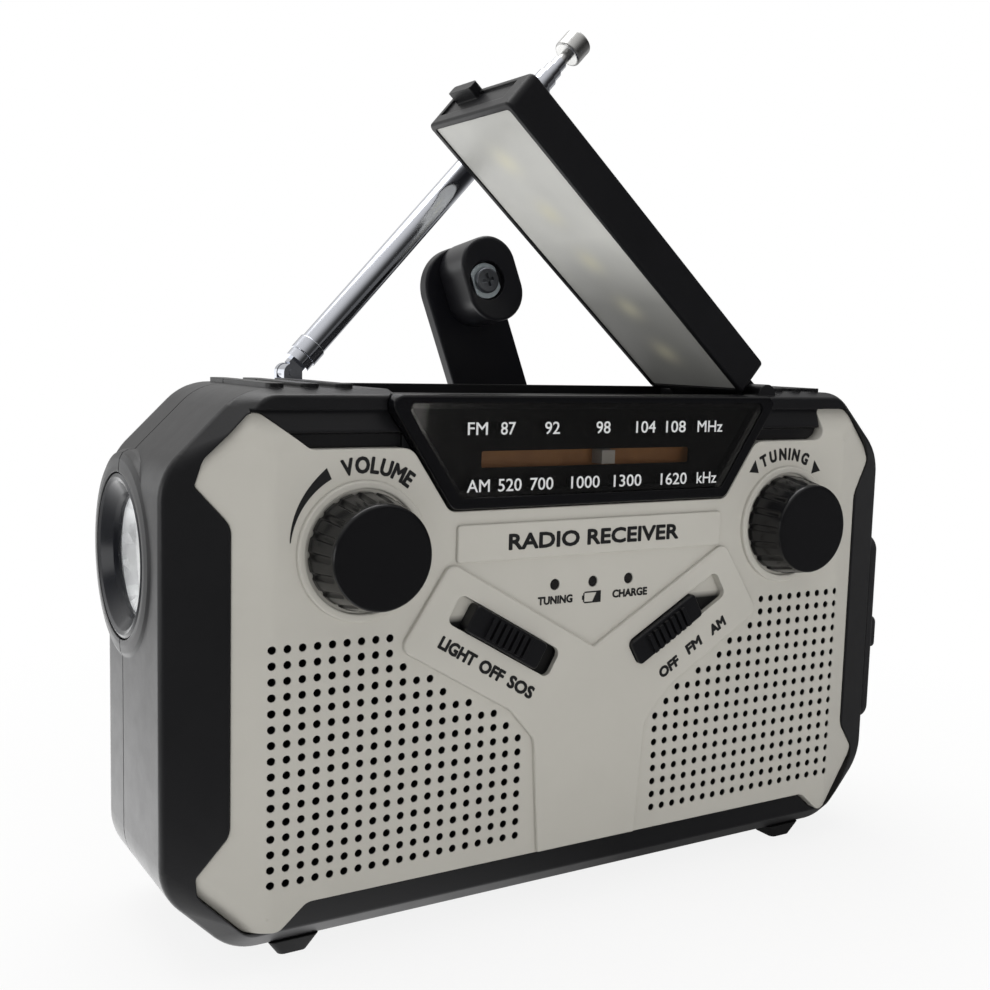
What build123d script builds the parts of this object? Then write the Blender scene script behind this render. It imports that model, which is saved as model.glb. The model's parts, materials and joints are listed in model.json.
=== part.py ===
from build123d import *
import os
from math import acos, cos, pi, radians, sin, sqrt, tan

os.makedirs("parts", exist_ok=True)

# Emergency radio. Millimetres, +Z up, front face looks along -Y, torch on -X.
# Origin: on the surface that the feet rest on, under the middle of the whole radio as it
# stands open, knobs and crank included.
#
# Places are given as X from the middle of the body, depth behind the front panel face
# (towards +Y) and level above the top row of speaker holes. save() shifts each piece in X
# to the origin above. On an at_depth() plane a positive extrusion runs forwards.

# ---------------------------------------------------------------- shared dimensions
MIDDLE_X = 2.15         # X of the middle of the whole radio's width, torch to port cover
FRONT_Y = -30.7         # Y of the front panel face
ROW_Z = 62.3            # Z of the top row of speaker holes
DEPTH = 52.0            # body depth, front panel face to rear face
HALF_WIDTH = 91.0       # half width of the body
TOP = 47.7              # level of the body top
BOTTOM = -59.3          # level of the body underside
RUN = 0.05              # running clearance
FIT = 0.12              # gap round the parts set into the front shell

VOLUME_SPOT = (-54.0, 17.35)    # knob centres, (X, level)
TUNING_SPOT = (54.0, 17.35)
KNOBS = [VOLUME_SPOT, TUNING_SPOT]
KNOB_SHAFT_RADIUS = 3.0
SPEAKER = (-52.0, -24.0)        # speaker centre
LEDS = [(-10.0, 7.7), (-0.3, 7.7), (9.1, 7.7)]
SLOT_X, SLOT_LEVEL, SLOT_TURN = 22.4, -2.0, 30.0    # slide switches, turned in degrees
SCREWS = [(-67.0, 35.0), (67.0, 35.0), (-79.0, -44.0), (79.0, -44.0)]
TORCH_DEPTH, TORCH_LEVEL = 31.0, 14.0               # torch axis
PIVOT = (49.8, 47.0)            # flip panel hinge, (X, level)
PIVOT_BORE = 1.3
EAR_RADIUS = 2.5                # rounded end of each hinge ear and of the knuckle
ANTENNA_SPOT = (-51.2, 45.0)    # antenna, (X, depth)
ANTENNA_BOSS_TOP = 46.4         # level
HUB = (21.5, 13.9)              # crank shaft, (X, level)
CRANK_TILT = 17.0               # crank arm from the vertical, towards -X, in degrees
CRANK_LENGTH = 60.0             # fold pin to grip axis
BATTERY = (22.0, -41.5)         # middle of the battery bay, (X, level)
PORT_DEPTH, PORT_LEVEL = 17.0, -10.5    # middle of the port board
USB_SHIFT, CHARGE_SHIFT = -7.5, 10.0    # levels of the two sockets from that middle


# ---------------------------------------------------------------- planes
def at_depth(depth):
    """Plane at a depth, facing the front: local x is X, local y is the level."""
    return Plane(origin=(0, FRONT_Y + depth, ROW_Z), x_dir=(1, 0, 0), z_dir=(0, -1, 0))


def at_level(level):
    """Plane at a level, facing up: local x is X, local y is the depth."""
    return Plane(origin=(0, FRONT_Y, ROW_Z + level), x_dir=(1, 0, 0), z_dir=(0, 0, 1))


def facing_right(x, depth=0.0, level=0.0):
    """Plane looking along +X: local x runs to the rear, local y upwards."""
    return Plane(origin=(x, FRONT_Y + depth, ROW_Z + level), x_dir=(0, 1, 0), z_dir=(1, 0, 0))


def slot_at(side, along=0.0):
    """Place on an at_depth() plane of a slide switch, moved along its slot."""
    turn = radians(side * SLOT_TURN)
    x = side * SLOT_X + along * cos(turn)
    return Location((x, SLOT_LEVEL + along * sin(turn), 0), (0, 0, side * SLOT_TURN))


SLOTS = [slot_at(-1), slot_at(1)]


# ---------------------------------------------------------------- outlines
def octagon(half, top, bottom, cut_top, cut_bottom):
    return [(half, bottom + cut_bottom), (half, top - cut_top),
            (half - cut_top, top), (-half + cut_top, top),
            (-half, top - cut_top), (-half, bottom + cut_bottom),
            (-half + cut_bottom, bottom), (half - cut_bottom, bottom)]


def unit(start, end):
    length = sqrt((end[0] - start[0]) ** 2 + (end[1] - start[1]) ** 2)
    return ((end[0] - start[0]) / length, (end[1] - start[1]) / length)


def grown(points, distance):
    """A closed outline of (x, y, corner radius) moved outwards by a distance."""
    moved = []
    count = len(points)
    area = sum(points[i][0] * points[(i + 1) % count][1] - points[(i + 1) % count][0] * points[i][1]
               for i in range(count))
    sense = 1 if area > 0 else -1
    for i, point in enumerate(points):
        before = unit(points[i - 1], point)
        after = unit(point, points[(i + 1) % count])
        normal_a = (before[1] * sense, -before[0] * sense)
        normal_b = (after[1] * sense, -after[0] * sense)
        step = distance / (1 + normal_a[0] * normal_b[0] + normal_a[1] * normal_b[1])
        turn = (before[0] * after[1] - before[1] * after[0]) * sense
        radius = point[2] + distance if turn > 0 else point[2] - distance
        moved.append((point[0] + (normal_a[0] + normal_b[0]) * step,
                      point[1] + (normal_a[1] + normal_b[1]) * step, max(radius, 0.3)))
    return moved


def draw_rounded(points):
    """Adds a closed outline of (x, y, corner radius) to the open BuildLine."""
    corners = []
    count = len(points)
    for i, (x, y, radius) in enumerate(points):
        before = unit(points[i - 1], points[i])
        after = unit(points[i], points[(i + 1) % count])
        half_turn = acos(max(-1, min(1, before[0] * after[0] + before[1] * after[1]))) / 2
        trim = radius * tan(half_turn)
        inset = radius / cos(half_turn) - radius
        bisector = (after[0] - before[0], after[1] - before[1])
        length = sqrt(bisector[0] ** 2 + bisector[1] ** 2)
        corners.append(((x - before[0] * trim, y - before[1] * trim),
                        (x + bisector[0] / length * inset, y + bisector[1] / length * inset),
                        (x + after[0] * trim, y + after[1] * trim)))
    for i, corner in enumerate(corners):
        ThreePointArc(*corner)
        Line(corner[2], corners[(i + 1) % count][0])


# The next three draw into the open BuildSketch.
def circles(radius, *spots, mode=Mode.ADD):
    with Locations(*(spots or [(0, 0)])):
        Circle(radius, mode=mode)


def rectangles(size, *spots, mode=Mode.ADD):
    """Rectangles of a size (width, height) or (width, height, corner radius)."""
    shape = RectangleRounded if len(size) == 3 else Rectangle
    with Locations(*(spots or [(0, 0)])):
        shape(*size, mode=mode)


def soft_polygon(points, radius):
    """A polygon with every corner rounded alike."""
    Polygon(*points, align=None)
    fillet(vertices(), radius=radius)


# ---------------------------------------------------------------- simple solids
def plate(points, depth, thickness):
    """Plate with a rounded outline, from a depth forwards."""
    with BuildPart() as made:
        with BuildSketch(at_depth(depth)):
            with BuildLine():
                draw_rounded(points)
            make_face()
        extrude(amount=thickness)
    return made.part


def rod(plane, radius, length, *spots, bore=0.0):
    """Round rods standing on a plane, bored through if a bore radius is given."""
    with BuildPart() as made:
        with BuildSketch(plane):
            circles(radius, *spots)
            if bore:
                circles(bore, *spots, mode=Mode.SUBTRACT)
        extrude(amount=length)
    return made.part


def slab(plane, size, length, *spots):
    """Rectangular blocks standing on a plane."""
    with BuildPart() as made:
        with BuildSketch(plane):
            rectangles(size, *spots)
        extrude(amount=length)
    return made.part


def lathe_x(points):
    """Turns a closed (radius, X) profile about the torch axis."""
    centre = (0, FRONT_Y + TORCH_DEPTH, ROW_Z + TORCH_LEVEL)
    with BuildPart() as made:
        with BuildSketch(Plane(origin=centre, x_dir=(0, 0, 1), z_dir=(0, -1, 0))):
            with BuildLine():
                Polyline(*[(radius, -x) for radius, x in points], close=True)
            make_face()
        revolve(axis=Axis(centre, (1, 0, 0)))
    return made.part


def lathe_y(spot, points):
    """Turns a closed (radius, depth) profile about the front-to-back line through a spot."""
    centre = (spot[0], FRONT_Y, ROW_Z + spot[1])
    with BuildPart() as made:
        with BuildSketch(Plane(origin=centre, x_dir=(1, 0, 0), z_dir=(0, 0, 1))):
            with BuildLine():
                Polyline(*points, close=True)
            make_face()
        revolve(axis=Axis(centre, (0, 1, 0)))
    return made.part


def cut(part):
    """Takes a solid away from the open BuildPart."""
    add(part, mode=Mode.SUBTRACT)


def save(part, name):
    """Labels a finished piece and writes it as its own STEP file, centred on the whole radio."""
    placed = Pos(-MIDDLE_X, 0, 0) * part
    placed.label = name
    export_step(placed, "parts/" + name + ".step")


# ---------------------------------------------------------------- edge and face selection
def is_at(shape, depth):
    return abs(shape.center().Y - (FRONT_Y + depth)) < 0.01


def ring_at(piece, depth):
    """The edges of a piece that lie wholly at one depth."""
    return [edge for edge in piece.edges()
            if all(abs((edge @ t).Y - FRONT_Y - depth) < 0.01 for t in (0, 0.5, 1))]


def meeting(piece):
    """Every edge of a piece with the normals of the two faces that meet there."""
    for edge in piece.edges():
        sides = [face for face in piece.faces() if any(other.is_same(edge) for other in face.edges())]
        if len(sides) == 2:
            yield edge, sides[0].normal_at(edge @ 0.5), sides[1].normal_at(edge @ 0.5)


def creases_of(piece):
    """Shallow edges between two faces that both look to the front."""
    return [edge for edge, a, b in meeting(piece)
            if a.Y < -0.5 and b.Y < -0.5 and 3 < a.get_angle(b) < 60]


def rim_of(piece):
    """Edges where a front-looking face meets the upright outer wall, ahead of its back edge."""
    return [edge for edge, a, b in meeting(piece)
            if min(a.Y, b.Y) < -0.5 and max(a.Y, b.Y) > -0.3 and (edge @ 0.5).Y < FRONT_Y + 6.9]


# ---------------------------------------------------------------- front bezel
# Outline of the light front panel, clockwise from the top: (X, level, corner radius)
OUTLINE = [
    # left side, downwards
    (-35.4, 24.0, 2.6), (-43.9, 36.7, 3.6), (-64.7, 36.7, 3.0), (-74.7, 44.2, 2.6),
    (-83.7, 34.9, 4.0), (-85.15, 30.2, 1.0), (-79.0, 23.0, 4.5), (-79.0, -34.6, 4.5),
    (-84.9, -42.6, 1.0), (-84.6, -46.2, 3.0), (-76.0, -54.6, 2.6), (-70.3, -54.6, 3.0),
    (-64.6, -49.7, 3.0),
    # right side, upwards
    (64.6, -49.7, 3.0), (70.3, -54.6, 3.0), (76.0, -54.6, 2.6), (85.1, -45.3, 3.0),
    (85.4, -41.6, 2.2), (79.0, -34.6, 4.5), (79.0, 23.0, 4.5), (85.2, 31.0, 2.2),
    (83.7, 35.0, 4.0), (75.2, 43.9, 3.4), (65.8, 43.9, 1.2), (65.8, 36.7, 3.4),
    (43.9, 36.7, 3.6), (35.4, 24.0, 2.6)]
# Y-shaped yoke round the switches: (X, level, corner radius)
YOKE = [(-35.3, 14.2, 2.6), (-46.2, -2.4, 2.2), (-20.6, -17.6, 6.0), (-14.6, -24.5, 4.0),
        (-12.8, -49.4, 0.4), (12.8, -49.4, 0.4), (14.6, -24.5, 4.0), (20.6, -17.6, 6.0),
        (46.2, -2.4, 2.2), (35.3, 14.2, 2.6), (0, -6.2, 0.8)]
# Sloping facets of the right half, each a plane through three (X, depth, level) points
FACETS = [
    [(72.0, 0, 0), (72.0, 0, 10), (78.9, 2.35, 0)],
    [(84.0, 3.65, 33.0), (77.7, 1.7, 38.3), (77.5, 3.6, 41.5)],
    [(65.0, 0, 37.9), (75.0, 0, 37.9), (70.0, 3.4, 43.3)],
    [(83.0, 3.4, -44.5), (74.5, 0.76, -52.0), (80.5, 4.6, -50.2)]]
BEZEL_BACK = 7.0        # depth of its back edge
BEZEL_SKIN = 2.2        # thickness behind the flat face
FACET_SKIN = 2.3        # front-to-back thickness behind the facets
BEZEL_WALL = 1.7
RELIEF_FOOT = 1.5       # depth the raised shapes start from
STRIP_RISE, YOKE_RISE = 0.8, 1.0    # how far they stand out
COLLAR_RADIUS, COLLAR_BORE = 13.5, 11.9
BEZEL_CUT = 5.0         # length of the cuts through the skin

PITCH = 3.0             # speaker hole pitch
HOLE_RADIUS = 0.78
OUTER_COLUMN = 72.0     # X of the outermost column of holes
ROWS = 16
# top row present in each column, outermost column first
FIRST_ROWS = [0] * 9 + [2, 3, 3, 4, 5, 5, 6, 6, 7, 8]
GRILLE = [(side * (OUTER_COLUMN - PITCH * column), -PITCH * row)
          for side in (-1, 1)
          for column, first in enumerate(FIRST_ROWS)
          for row in range(first, ROWS)]


def facet_plane(points):
    """Plane through three (X, depth, level) points, its normal pointing to the front."""
    a, b, c = [Vector(x, FRONT_Y + depth, ROW_Z + level) for x, depth, level in points]
    normal = (b - a).cross(c - a)
    if normal.Y > 0:
        normal = normal * -1
    return Plane(origin=a, x_dir=(b - a), z_dir=normal)


FACET_PLANES = [facet_plane([(side * x, depth, level) for x, depth, level in facet])
                for side in (-1, 1) for facet in FACETS]

with BuildPart() as bezel_core:
    add(plate(grown(OUTLINE, -BEZEL_WALL), BEZEL_BACK + 1, BEZEL_BACK + 1 - BEZEL_SKIN))
    for facet in FACET_PLANES:
        behind = Plane(origin=facet.origin + Vector(0, FACET_SKIN, 0),
                       x_dir=facet.x_dir, z_dir=facet.z_dir)
        split(bisect_by=behind, keep=Keep.BOTTOM)

with BuildPart() as front_bezel:
    add(plate(OUTLINE, BEZEL_BACK, BEZEL_BACK))
    for facet in FACET_PLANES:
        split(bisect_by=facet, keep=Keep.BOTTOM)
    # the shallow creases are soft, and the outer edge is just broken
    fillet(creases_of(front_bezel), radius=6.0)
    fillet(rim_of(front_bezel), radius=0.25)
    # raised name strip, yoke and knob collars
    add(slab(at_depth(RELIEF_FOOT), (67.7, 7.6, 0.8), RELIEF_FOOT + STRIP_RISE, (0, 17.5)))
    add(plate(YOKE, RELIEF_FOOT, RELIEF_FOOT + YOKE_RISE))
    add(rod(at_depth(RELIEF_FOOT), COLLAR_RADIUS, RELIEF_FOOT + YOKE_RISE, *KNOBS))
    cut(bezel_core.part)
    cut(rod(at_depth(0.0), COLLAR_BORE, 3.0, *KNOBS))
    collar_edges = front_bezel.edges().filter_by(GeomType.CIRCLE)
    fillet(collar_edges.filter_by(lambda e: is_at(e, -YOKE_RISE) and e.radius > 11), radius=0.45)
    yoke_face = front_bezel.faces().filter_by(lambda f: is_at(f, -YOKE_RISE) and f.area > 1200)
    fillet(yoke_face.edges(), radius=0.45)
    strip_face = front_bezel.faces().filter_by(lambda f: is_at(f, -STRIP_RISE) and f.area > 300)
    fillet(strip_face.edges(), radius=0.35)
    # holes for the knob shafts, LEDs and switch stems
    with BuildSketch(at_depth(3.0)):
        circles(3.6, *KNOBS)
        circles(1.2, *LEDS)
        rectangles((12.6, 2.6, 1.2), *SLOTS)
    extrude(amount=BEZEL_CUT, mode=Mode.SUBTRACT)
    # shallow tracks for the sliders
    cut(slab(at_depth(1.2), (28.0, 6.4, 1.6), BEZEL_CUT, *SLOTS))
    with BuildSketch(at_depth(3.2)):
        circles(HOLE_RADIUS, *GRILLE)
    extrude(amount=BEZEL_CUT, mode=Mode.SUBTRACT)
save(front_bezel.part, "front_bezel")

# ---------------------------------------------------------------- dial
# Outer and window outlines: (X, level, corner radius)
DIAL = [(-35.0, 24.3, 2.4), (-50.0, 46.9, 2.0), (50.0, 46.9, 2.0), (35.0, 24.3, 2.4)]
WINDOW = [(-33.5, 26.6, 1.6), (-46.0, 45.4, 1.4), (46.0, 45.4, 1.4), (33.5, 26.6, 1.6)]
DIAL_BACK = 3.1         # depth of the frame's back
DIAL_LEDGE = 1.0        # depth of the ledge that the window rests on
LEDGE_WIDTH = 1.2
SLIT = (-0.5, 33.9)     # middle of the slit in the scale
POINTER_X = 3.5
POINTER_BACK = 5.3
STRIP_SIZE, STRIP_SPOT, STRIP_BACK = (59.6, 7.4), (-0.5, 35.4), 7.1

with BuildPart() as dial_frame:
    add(plate(DIAL, DIAL_BACK, DIAL_BACK + 0.8))
    fillet(dial_frame.faces().sort_by(Axis.Y)[0].edges(), radius=0.7)
    cut(plate(WINDOW, DIAL_LEDGE, 3.0))
    cut(plate(grown(WINDOW, -LEDGE_WIDTH), 4.0, 4.0))
save(dial_frame.part, "dial_frame")

save(plate(grown(WINDOW, -0.08), DIAL_LEDGE - RUN, 1.25), "dial_window")

with BuildPart() as dial_scale:
    add(plate(grown(WINDOW, -LEDGE_WIDTH - 0.1), DIAL_BACK, 0.5))
    cut(slab(at_depth(DIAL_BACK), (53.4, 3.4, 0.5), 0.5, SLIT))
save(dial_scale.part, "dial_scale")

save(slab(at_depth(STRIP_BACK), STRIP_SIZE, 1.5, STRIP_SPOT), "dial_strip")

# the front half reaches into the slit, the rear half also stands up behind the scale
with BuildPart() as tuning_pointer:
    add(slab(at_depth(POINTER_BACK), (3.4, 2.9), 3.6, (POINTER_X, SLIT[1])))
    add(slab(at_depth(POINTER_BACK), (3.4, 3.6), 1.8, (POINTER_X, 37.0)))
save(tuning_pointer.part, "tuning_pointer")

# ---------------------------------------------------------------- shells
WALL = 2.9              # side wall
FACE_DEPTH = 2.2        # depth of the front shell's face
EDGE = 6.2              # depth at which the sloping front rim meets the sides
BACK_EDGE = 41.0        # depth at which the sides turn in towards the rear face
SEAM = 30.5             # depth of the seam between the two shells
GROOVE = 0.3            # shadow groove along that seam
CORNER, CORE_CORNER = 12.0, 9.5     # rounding of the body's and the hollow's corners
BEHIND = DEPTH + 1      # start of the cuts made from behind the rear face
CUT_AHEAD = 12.0        # length of the cuts that run out through the front

CORNER_CUTS = (15.4, 13.8)          # upper and lower
BODY = octagon(HALF_WIDTH, TOP, BOTTOM, *CORNER_CUTS)
FACE = octagon(79.6, 46.6, -55.4, 7.6, 4.2)
REAR = octagon(HALF_WIDTH - 5.5, TOP - 5.0, BOTTOM + 4.5, 13.5, 12.0)
CORE = octagon(HALF_WIDTH - WALL, TOP - WALL, BOTTOM + WALL, 14.2, 12.6)
REAR_CORE = octagon(HALF_WIDTH - 8.4, TOP - 7.6, BOTTOM + 7.2, 13.5, 12.0)

BAY_LEFT, BAY_RIGHT = -46.4, 54.0   # flip panel's bay, in X
BAY_MIDDLE, BAY_WIDTH = (BAY_LEFT + BAY_RIGHT) / 2, BAY_RIGHT - BAY_LEFT
BAY_FLOOR = 42.9                    # level
BAY_FRONT, BAY_BACK = 4.0, 39.2     # depths
BAY_WALL, BAY_FLOOR_THICKNESS = 2.6, 2.5
EAR_HEIGHT = 4.8                    # hinge ear, pin to foot

POST_RADIUS, REAR_POST_RADIUS = 3.6, 3.9
POST_FRONT = 9.0                    # depth where the front posts start
SCREW_SEAT = 39.0                   # depth under the screw heads
REAR_FLOOR = 50.0                   # depth from which posts and bosses grow forwards

DOOR_SIZE = (74.0, 21.0)            # battery door, width and height
LIP_SIZE = (68.6, 16.6)             # outside of the lip on its inner side
DOOR_GAP = 0.4                      # openings are this much larger overall
DOOR_INNER = 50.3                   # depth of the door's inner side

TORCH_RADIUS = 16.4
SADDLE = lathe_x([(0, -84), (21.0, -84), (20.8, -89.6), (20.2, -90.8), (19.0, -91.4),
                  (17.4, -91.6), (0, -91.6)])
TORCH_HOLE = lathe_x([(0, -82), (TORCH_RADIUS, -82), (TORCH_RADIUS, -96), (0, -96)])

RIBS = (-69.0, -62.0, -55.0, 56.4, 62.2, 68.0)      # X of the ribs on top
RIB_DEPTH = 23.0                                    # middle of their length
with BuildPart() as top_ribs:
    with BuildSketch(at_level(44.0)):
        with Locations(*[(x, RIB_DEPTH) for x in RIBS]):
            SlotOverall(34.0, 3.6, rotation=90)
    extrude(amount=4.6)

with BuildPart() as seam_groove:
    with BuildSketch(at_depth(SEAM + GROOVE / 2)):
        Polygon(*octagon(HALF_WIDTH + 9, TOP + 9, BOTTOM - 9, *CORNER_CUTS), align=None)
    extrude(amount=GROOVE)
    with BuildSketch(at_depth(SEAM + GROOVE)):
        soft_polygon(octagon(HALF_WIDTH - GROOVE, TOP - GROOVE, BOTTOM + GROOVE, *CORNER_CUTS),
                     CORNER)
    extrude(amount=2 * GROOVE, mode=Mode.SUBTRACT)


def draw_cavity(points, radius):
    """The hollow's section: the inner outline less the walls and floor of the panel's bay."""
    height = 40.0
    soft_polygon(points, radius)
    rectangles((BAY_WIDTH + 2 * BAY_WALL, height),
               (BAY_MIDDLE, BAY_FLOOR - BAY_FLOOR_THICKNESS + height / 2), mode=Mode.SUBTRACT)


def bay_block(depth, length):
    height = 30.0
    return slab(at_depth(depth), (BAY_WIDTH, height), length,
                (BAY_MIDDLE, BAY_FLOOR + height / 2))


def hinge_ear(depth, length):
    with BuildPart() as made:
        with BuildSketch(at_depth(depth)):
            circles(EAR_RADIUS, PIVOT)
            rectangles((2 * EAR_RADIUS, EAR_HEIGHT), (PIVOT[0], PIVOT[1] - EAR_HEIGHT / 2))
        extrude(amount=length)
    return made.part


with BuildPart() as front_block:
    with BuildSketch(at_depth(EDGE)):
        soft_polygon(BODY, CORNER)
    with BuildSketch(at_depth(FACE_DEPTH)):
        soft_polygon(FACE, 4.5)
    loft(ruled=True)
    with BuildSketch(at_depth(SEAM)):
        soft_polygon(BODY, CORNER)
    extrude(amount=SEAM - EDGE)
    fillet(ring_at(front_block, EDGE), radius=1.5)
    fillet(ring_at(front_block, FACE_DEPTH), radius=0.8)

with BuildPart() as front_shell:
    add(front_block.part)
    add(SADDLE)
    add(top_ribs.part)
    split(bisect_by=at_depth(SEAM), keep=Keep.TOP)
    cut(seam_groove.part)
    # hollow
    with BuildSketch(at_depth(SEAM + 1)):
        draw_cavity(CORE, CORE_CORNER)
    extrude(amount=SEAM + 1 - 10.0, mode=Mode.SUBTRACT)
    # seats for the bezel, the dial and the dial strip
    cut(plate(grown(OUTLINE, FIT), BEZEL_BACK + 0.2, CUT_AHEAD))
    cut(plate(grown(DIAL, FIT), DIAL_BACK + 0.1, CUT_AHEAD))
    cut(slab(at_depth(STRIP_BACK + 0.1), (STRIP_SIZE[0] + 0.4, STRIP_SIZE[1] + 0.4), 6.0,
             STRIP_SPOT))
    # sloped ledge in each upper notch, drawn as (depth, level)
    for side in (-1, 1):
        with BuildSketch(facing_right(side * 45.0)):
            Polygon((-3, 44.2), (3.5, 43.9), (2.1, 39.7), (3.4, 39.2), (3.4, 34.0), (-3, 34.0),
                    align=None)
        extrude(amount=side * 30.5, mode=Mode.SUBTRACT)
    # openings behind the controls, the knobs and both halves of the grille
    with BuildSketch(at_depth(12.0)):
        rectangles((92.0, 36.0, 3.0), (0, -4.0))
        circles(4.2, *KNOBS)
        circles(23.0, SPEAKER, (-SPEAKER[0], SPEAKER[1]))
    extrude(amount=6.0, mode=Mode.SUBTRACT)
    # bay for the flip panel, with the front hinge ear
    cut(bay_block(SEAM + 1, SEAM + 1 - BAY_FRONT))
    add(hinge_ear(8.6, 5.2))
    cut(rod(at_depth(9.0), PIVOT_BORE, 4.8, PIVOT))
    cut(TORCH_HOLE)
    # opening for the ports on the right side
    cut(slab(at_depth(PORT_DEPTH + 6.6), (12.0, 44.0), 13.2, (88.0, -11.0)))
    # screw posts
    add(rod(at_depth(SEAM), POST_RADIUS, SEAM - POST_FRONT, *SCREWS))
    cut(rod(at_depth(SEAM), 1.35, 16.0, *SCREWS))
save(front_shell.part, "front_shell")

with BuildPart() as rear_shell:
    with BuildSketch(at_depth(BACK_EDGE)):
        soft_polygon(BODY, CORNER)
    with BuildSketch(at_depth(DEPTH)):
        soft_polygon(REAR, 10.0)
    loft(ruled=True)
    with BuildSketch(at_depth(BACK_EDGE)):
        soft_polygon(BODY, CORNER)
    extrude(amount=BACK_EDGE - SEAM)
    fillet(ring_at(rear_shell, BACK_EDGE), radius=4.0)
    fillet(ring_at(rear_shell, DEPTH), radius=2.0)
    add(SADDLE)
    add(top_ribs.part)
    split(bisect_by=at_depth(SEAM), keep=Keep.BOTTOM)
    cut(seam_groove.part)
    # hollow, narrower towards the rear wall
    with BuildSketch(at_depth(44.0)):
        draw_cavity(CORE, CORE_CORNER)
    extrude(amount=45.0 - SEAM, mode=Mode.SUBTRACT)
    with BuildSketch(at_depth(49.4)):
        draw_cavity(REAR_CORE, 8.0)
    extrude(amount=6.0, mode=Mode.SUBTRACT)
    # rear end of the bay, hinge ear and the antenna boss
    cut(bay_block(BAY_BACK, 20.0))
    add(hinge_ear(40.0, 6.0))
    add(rod(at_level(38.0), 5.6, ANTENNA_BOSS_TOP - 38.0, ANTENNA_SPOT))
    cut(rod(at_level(ANTENNA_BOSS_TOP), 4.7, 5.0, ANTENNA_SPOT))
    cut(rod(at_level(41.0), 2.55, 10.0, ANTENNA_SPOT))
    cut(rod(at_depth(40.6), PIVOT_BORE, 10.0, PIVOT))
    # pocket that takes the folded crank's grip
    pocket = (HUB[0] - CRANK_LENGTH * cos(radians(CRANK_TILT)),
              HUB[1] - CRANK_LENGTH * sin(radians(CRANK_TILT)))
    add(rod(at_depth(REAR_FLOOR), 13.6, 6.4, pocket))
    cut(rod(at_depth(BEHIND), 11.9, 8.2, pocket))
    # crank bearing and screw posts
    add(rod(at_depth(REAR_FLOOR), 6.0, 5.6, HUB))
    add(rod(at_depth(REAR_FLOOR), REAR_POST_RADIUS, REAR_FLOOR - SEAM, *SCREWS))
    with BuildSketch(at_depth(BEHIND)):
        circles(3.05, HUB)
        circles(1.6, *SCREWS)
    extrude(amount=30.0, mode=Mode.SUBTRACT)
    cut(rod(at_depth(BEHIND), 3.0, BEHIND - SCREW_SEAT, *SCREWS))
    # battery bay opening with a rebate for its door
    cut(slab(at_depth(BEHIND), (DOOR_SIZE[0] + DOOR_GAP, DOOR_SIZE[1] + DOOR_GAP, 2.0), 2.8,
             BATTERY))
    cut(slab(at_depth(BEHIND), (LIP_SIZE[0] + DOOR_GAP, LIP_SIZE[1] + DOOR_GAP, 1.5), 6.0,
             BATTERY))
    cut(TORCH_HOLE)
save(rear_shell.part, "rear_shell")


# ---------------------------------------------------------------- feet and case screws
def foot(x, depth):
    with BuildPart() as made:
        with BuildSketch(at_level(-ROW_Z)):
            rectangles((6.0, 6.4, 1.2), (x, depth))
        with BuildSketch(at_level(BOTTOM)):
            rectangles((10.4, 7.8, 1.2), (x, depth))
        loft(ruled=True)
    return made.part


with BuildPart() as rubber_feet:
    for x in (-64.7, 64.7):
        for depth in (9.4, 39.0):
            add(foot(x, depth))
save(rubber_feet.part, "rubber_feet")

SCREW_RADIUS = 1.3
with BuildPart() as case_screws:
    for spot in SCREWS:
        # head with a hexagonal socket
        with BuildSketch(at_depth(SCREW_SEAT + RUN)):
            with Locations(spot):
                Circle(2.7)
                RegularPolygon(1.0, 6, mode=Mode.SUBTRACT)
        extrude(amount=-1.6)
        add(rod(at_depth(38.9), SCREW_RADIUS, 22.0, spot))
        # floor of the socket, which ties the head to the shank
        add(rod(at_depth(39.4), SCREW_RADIUS, 1.0, spot))
save(case_screws.part, "case_screws")

# ---------------------------------------------------------------- knobs and what they turn
# (radius, depth) of the knob before its flutes
KNOB_PROFILE = [(0, -0.35), (11.35, -0.35), (11.35, -1.6), (9.95, -9.3), (0, -9.3)]
FLUTES = 18
FLUTE_RADIUS = 0.9
# (distance from the knob's axis, depth) of a flute's centre line at its foot and its end
FLUTE_FOOT, FLUTE_END = (11.95, -0.2), (10.62, -7.6)
SHAFT_REACH = 6.4       # shafts stand out this far from the front face
DRUM_RADIUS, DRUM_BACK, DRUM_WIDTH = 9.5, 14.6, 3.2


def around_knob(x, level, angle, station):
    distance, depth = station
    return Vector(x + distance * cos(angle), FRONT_Y + depth,
                  ROW_Z + level + distance * sin(angle))


def knob(spot):
    with BuildPart() as made:
        add(lathe_y(spot, KNOB_PROFILE))
        fillet(made.faces().sort_by(Axis.Y)[0].edges(), radius=0.8)
        # grip flutes down the cone, each with a round end short of the front edge
        for k in range(FLUTES):
            angle = 2 * pi * k / FLUTES
            start = around_knob(*spot, angle, FLUTE_FOOT)
            end = around_knob(*spot, angle, FLUTE_END)
            cut(rod(Plane(origin=start, z_dir=end - start), FLUTE_RADIUS, (end - start).length))
            with Locations(end):
                Sphere(FLUTE_RADIUS, mode=Mode.SUBTRACT)
        cut(rod(at_depth(0), KNOB_SHAFT_RADIUS + RUN, 6.6, spot))
    return made.part


def knob_shaft(spot, back):
    return rod(at_depth(back), KNOB_SHAFT_RADIUS, back + SHAFT_REACH, spot)


save(knob(VOLUME_SPOT), "volume_knob")
save(knob(TUNING_SPOT), "tuning_knob")
save(knob_shaft(VOLUME_SPOT, 15.0), "volume_shaft")

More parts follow.
